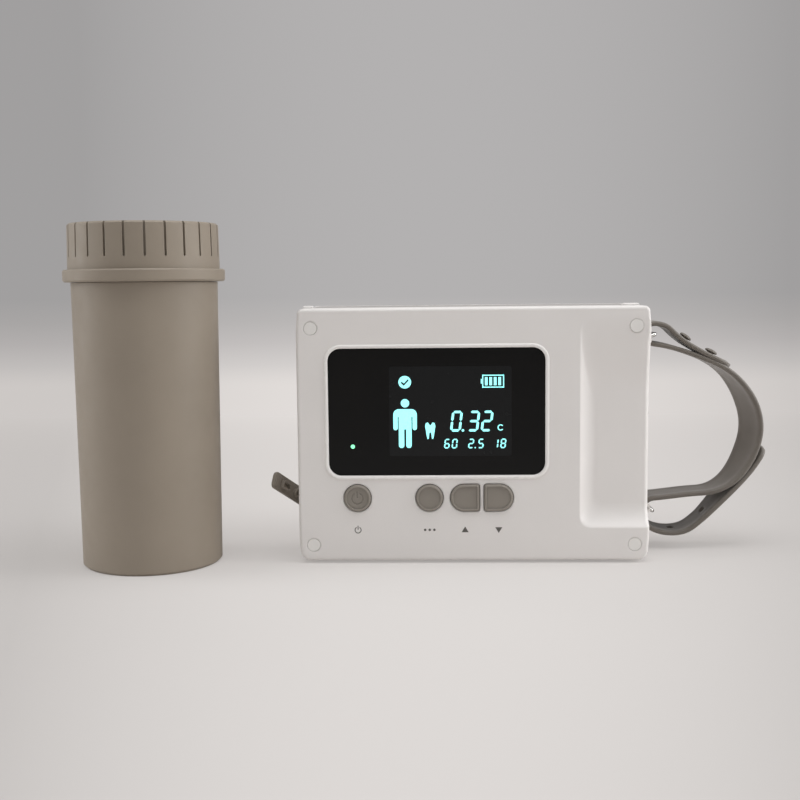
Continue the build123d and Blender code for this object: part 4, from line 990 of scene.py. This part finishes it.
# Neck and root: place from the hinge, half height, thickness and share of the swing
FLAP_NECK = [
    (-5.0, FLAP_HALF - 0.1, FLAP_THICK, 1.0), (-4.2, FLAP_HALF - 0.7, FLAP_THICK, 1.0), (-3.5, 2.2, 1.5, 1.0),
    (-3.0, 1.6, 1.15, 1.0), (-2.2, 1.4, 1.05, 1.0), (-1.4, 1.4, 1.05, 0.88), (-0.7, 1.4, 1.05, 0.66),
    (0.0, 1.4, 1.05, 0.44), (0.5, 1.45, 1.1, 0.24), (0.9, 1.6, 1.2, 0.08), (1.1, 2.0, 1.5, 0.0),
    (1.4, 2.35, 1.75, 0.0), (2.2, 2.5, 1.8, 0.0), (5.6, 2.5, 1.8, 0.0), (6.4, 2.3, 1.7, 0.0),
    (6.8, 1.7, 1.3, 0.0),
]
# Plugs on the inner face: places from the hinge, half sizes and corners of the rims, radii of the round one
USB_PLUG_Y = -23.5
USB_PLUG_OUTER = (3.5, 2.0, 0.9)
USB_PLUG_INNER = (2.6, 1.1, 0.5)
JACK_PLUG_Y = -12.5
JACK_PLUG_OUTER = 2.2
JACK_PLUG_INNER = 1.3
PLUG_SINK = 0.1
PLUG_HEIGHT = 1.4
PLUG_EASE = 0.25
# Grip lip: place from the free end, half sizes and corner, and its layers above the inner face
LIP_Y = 2.55
LIP_SIZES = (1.95, 3.65, 0.8)
LIP_SINK = 0.05
LIP_EDGE = 0.35
LIP_TOP = 0.5
LIP_NARROW = 0.9
LIP_SHORT = 0.94


def flap_turn(share):
    """The flap's swing, from closed at 0 to the photographed pose at 1."""
    return (Matrix.Translation(HINGE_MM) @ Matrix.Rotation(FLAP_OPEN * share, 4, FLAP_AXIS)
            @ Matrix.Translation(-HINGE_MM))


def rounded_section(half_z, thick, inner, radius, steps=3):
    """A flap section in X and Z about the hinge height, with rounded outer corners."""
    x_out = inner - thick
    small = min(SECTION_SMALL, radius)
    corners = [
        (x_out + radius, half_z - radius, radius, 90), (x_out + radius, -half_z + radius, radius, 180),
        (inner - small, -half_z + small, small, 270), (inner - small, half_z - small, small, 0),
    ]
    points = []
    for x, z, size, start in corners:
        points += arc_points(x, z, size, start, start + 90, steps)
    return points


def make_flap():
    """Plate, neck and root as one lofted skin along Y, turned row by row about the hinge."""
    hinge_y = HINGE_MM.y
    inner = HINGE_MM.x
    stations = []
    for k in range(FLAP_CORNER_STEPS + 1):
        angle = math.radians(90 * k / FLAP_CORNER_STEPS)
        y = FLAP_CORNER * (1 - math.cos(angle)) - FLAP_LENGTH
        stations.append((y, FLAP_HALF - FLAP_CORNER * (1 - math.sin(angle)), FLAP_THICK, 1.0))
    stations += [(y, FLAP_HALF, FLAP_THICK, 1.0) for y in FLAP_PLATE]
    stations += FLAP_NECK
    bm = bmesh.new()
    rings = []
    for y, half, thick, share in stations:
        turn = flap_turn(share)
        ring = []
        for x, dz in rounded_section(half, thick, inner, min(SECTION_ROUND, thick * 0.4)):
            point = turn @ Vector((x, hinge_y + y, HINGE_MM.z + dz))
            ring.append(bm.verts.new(at(point.x, point.y, point.z)))
        rings.append(ring)
    join_rings(bm, rings)
    close_ends(bm, rings)
    add_flap_plugs(bm)
    piece = new_piece("flap_moulding", bm, "flap", 45.0)
    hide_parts("port_flap", "flap_tether")
    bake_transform(piece)


def turned_row(bm, outline, x, turn):
    """Vertices of an outline in Y and Z at a given X, swung with the flap."""
    return [bm.verts.new(at(*(turn @ Vector((x, y, z))))) for y, z in outline]


def shrunk(outline, amount):
    """An outline drawn in towards its middle, or out where the amount is negative."""
    middle_y = sum(p[0] for p in outline) / len(outline)
    middle_z = sum(p[1] for p in outline) / len(outline)
    points = []
    for y, z in outline:
        share = 1 - amount / max(abs(y - middle_y), abs(z - middle_z), 0.5)
        points.append((middle_y + (y - middle_y) * share, middle_z + (z - middle_z) * share))
    return points


def closed_tube(bm, outer, inner, x0, x1, turn):
    """A hollow rim between two outlines in Y and Z, standing from x0 to x1."""
    shoulder = x1 - PLUG_EASE
    places = [(outer, x0), (outer, shoulder), (shrunk(outer, PLUG_EASE), x1), (shrunk(inner, -PLUG_EASE), x1),
              (inner, shoulder), (inner, x0)]
    rows = [turned_row(bm, outline, x, turn) for outline, x in places]
    join_rings(bm, rows + [rows[0]])


def add_flap_plugs(bm):
    """The two sealing rims and the raised grip lip on the flap's inner face."""
    turn = flap_turn(1.0)
    inner = HINGE_MM.x
    z = HINGE_MM.z
    usb_y = HINGE_MM.y + USB_PLUG_Y
    jack_y = HINGE_MM.y + JACK_PLUG_Y
    rims = [
        [rounded_box(usb_y, z, *sizes) for sizes in (USB_PLUG_OUTER, USB_PLUG_INNER)],
        [arc_points(jack_y, z, radius, 0, 345, 23) for radius in (JACK_PLUG_OUTER, JACK_PLUG_INNER)],
    ]
    for outside, hollow in rims:
        closed_tube(bm, outside, hollow, inner - PLUG_SINK, inner + PLUG_HEIGHT, turn)
    lip_y = HINGE_MM.y - FLAP_LENGTH + LIP_Y
    outline = rounded_box(lip_y, z, *LIP_SIZES)
    drawn_in = [(lip_y + (y - lip_y) * LIP_NARROW, z + (w - z) * LIP_SHORT) for y, w in outline]
    layers = ((outline, -LIP_SINK), (outline, LIP_EDGE), (drawn_in, LIP_TOP))
    rows = [turned_row(bm, shape, inner + height, turn) for shape, height in layers]
    join_rings(bm, rows)
    bm.faces.new(rows[-1])
    bm.faces.new(list(reversed(rows[0])))


make_flap()


# Floor, backdrop and lights
STAGE_PAPER = "#dcd8d5"
# Painted shade: the paper is shown darker towards its sides, about this middle
STAGE_MIDDLE_X = 0.0
STAGE_NEAR_REACH = 0.20
STAGE_SPREAD = 0.29
STAGE_SIDE_SHADE = 0.79
STAGE_FLOOR_SHADE = 0.86
STAGE_FADE_START = 0.12
STAGE_FADE_END = 0.60
STAGE_OWN_SHARE = 0.45
STAGE_SIDE_POWER = 2.2
STAGE_ROUGH = 0.9
STAGE_LEVEL = 0.1
# The sheet in metres: half width, near edge, start and radius of the sweep, and height
STAGE_HALF = 6.0
STAGE_NEAR_Y = -3.0
SWEEP_START = 0.95
SWEEP_RADIUS = 0.7
SWEEP_STEPS = 24
STAGE_TOP = 5.0
STAGE_WALL_TOP = 0.5
# Heights above the floor in metres, and the backdrop's colour there, darker upwards as painted shade
STAGE_WALL_SHADE = [
    (0.0, "#e3dedb"), (0.018, "#d5d1cf"), (0.046, "#c6c2c1"), (0.077, "#bbb8b7"), (0.115, "#b3b1b1"),
    (0.5, "#b3b1b1"),
]


def make_stage():
    """A floor that sweeps up into a wall; to the camera the wall shows its colour with painted shade, darker
    upwards and towards the sides.
    """
    bm = bmesh.new()
    profile = [(STAGE_NEAR_Y, 0.0), (SWEEP_START, 0.0)]
    for k in range(1, SWEEP_STEPS + 1):
        angle = math.radians(90 * k / SWEEP_STEPS)
        profile.append((SWEEP_START + SWEEP_RADIUS * math.sin(angle), SWEEP_RADIUS * (1 - math.cos(angle))))
    profile.append((SWEEP_START + SWEEP_RADIUS, STAGE_TOP))
    rows = [[bm.verts.new((x, y, z)) for x in (-STAGE_HALF, STAGE_HALF)] for y, z in profile]
    for a, b in zip(rows, rows[1:]):
        bm.faces.new((a[0], a[1], b[1], b[0]))
    mesh = bpy.data.meshes.new("stage")
    bm.to_mesh(mesh)
    bm.free()
    mesh.shade_smooth()
    floor = bpy.data.objects.new("stage", mesh)
    bpy.context.scene.collection.objects.link(floor)
    m = Shader("stage_paper")
    split = m.add("ShaderNodeSeparateXYZ")
    m.join(m.place, split.inputs["Vector"])
    m.rough(STAGE_ROUGH)
    m.surface.inputs["Specular IOR Level"].default_value = STAGE_LEVEL
    path = m.add("ShaderNodeLightPath")
    camera_ray = path.outputs["Is Camera Ray"]
    # The paper is shown darker towards its sides, as painted shade where the light falls off
    offset = m.maths("ABSOLUTE", m.maths("SUBTRACT", split.outputs["X"], STAGE_MIDDLE_X), 0.0)
    spread = m.maths("ADD", m.maths("MULTIPLY", split.outputs["Y"], STAGE_SPREAD), STAGE_NEAR_REACH)
    across = m.maths("DIVIDE", offset, spread)
    side = m.ramp(m.maths("POWER", across, STAGE_SIDE_POWER), 0.0, 1.0, 1.0, STAGE_SIDE_SHADE)
    floor_shade = m.maths("MULTIPLY", side, STAGE_FLOOR_SHADE)
    shade = m.add("ShaderNodeCombineColor")
    for channel in ("Red", "Green", "Blue"):
        m.join(floor_shade, shade.inputs[channel])
    seen = m.add("ShaderNodeMix", data_type="RGBA", blend_type="MULTIPLY")
    m.join(camera_ray, seen.inputs["Factor"])
    seen.inputs["A"].default_value = linear(STAGE_PAPER)
    m.join(shade.outputs["Color"], seen.inputs["B"])
    m.colour(seen.outputs["Result"])
    wall = m.add("ShaderNodeValToRGB")
    stops = wall.color_ramp
    while len(stops.elements) < len(STAGE_WALL_SHADE):
        stops.elements.new(1.0)
    for element, (height, code) in zip(stops.elements, STAGE_WALL_SHADE):
        element.position = height / STAGE_WALL_TOP
        element.color = linear(code)
    m.join(m.maths("DIVIDE", split.outputs["Z"], STAGE_WALL_TOP), wall.inputs["Fac"])
    shown = m.add("ShaderNodeEmission")
    m.join(wall.outputs["Color"], shown.inputs["Color"])
    # The wall is shown darker towards its sides too: painted shade
    m.join(side, shown.inputs["Strength"])
    mirror = m.maths("MAXIMUM", camera_ray, path.outputs["Is Glossy Ray"])
    fade = m.ramp(split.outputs["Y"], STAGE_FADE_START, STAGE_FADE_END, STAGE_OWN_SHARE, 1.0)
    own = m.maths("MULTIPLY", mirror, fade)
    blend = m.add("ShaderNodeMixShader")
    m.join(own, blend.inputs["Fac"])
    m.join(m.surface.outputs["BSDF"], blend.inputs[1])
    m.join(shown.outputs["Emission"], blend.inputs[2])
    m.join(blend.outputs["Shader"], m.tree.nodes["Material Output"].inputs["Surface"])
    mesh.materials.append(m.material)


LAMP_COLOUR = (0.985, 0.99, 1.0)
WORLD_COLOUR = (0.80, 0.80, 0.80, 1.0)
WORLD_STRENGTH = 0.54


def make_lamp(name, place, target, width, height, power):
    """A rectangular area lamp that looks at its target."""
    data = bpy.data.lights.new(name, "AREA")
    data.shape = "RECTANGLE"
    data.size = width
    data.size_y = height
    data.energy = power
    data.color = LAMP_COLOUR
    lamp = bpy.data.objects.new(name, data)
    lamp.location = Vector(place)
    way = Vector(target) - Vector(place)
    lamp.rotation_euler = way.to_track_quat("-Z", "Y").to_euler()
    bpy.context.scene.collection.objects.link(lamp)


# Name, place, target, width, height and power
LAMPS = [
    ("overhead", (0.05, -0.15, 1.05), (0.0, 0.05, 0.05), 0.9, 0.7, 6.0),
    ("left_side", (-0.95, 0.0, 0.42), (0.0, 0.0, 0.07), 0.5, 0.8, 3.6),
    ("right_side", (0.95, -0.05, 0.42), (0.0, 0.0, 0.07), 0.5, 0.8, 6.0),
]

make_stage()
for lamp_values in LAMPS:
    make_lamp(*lamp_values)
world = bpy.data.worlds.new("world")
world.use_nodes = True
background = world.node_tree.nodes["Background"]
background.inputs["Color"].default_value = WORLD_COLOUR
background.inputs["Strength"].default_value = WORLD_STRENGTH
bpy.context.scene.world = world
bpy.context.scene.view_settings.view_transform = "Standard"
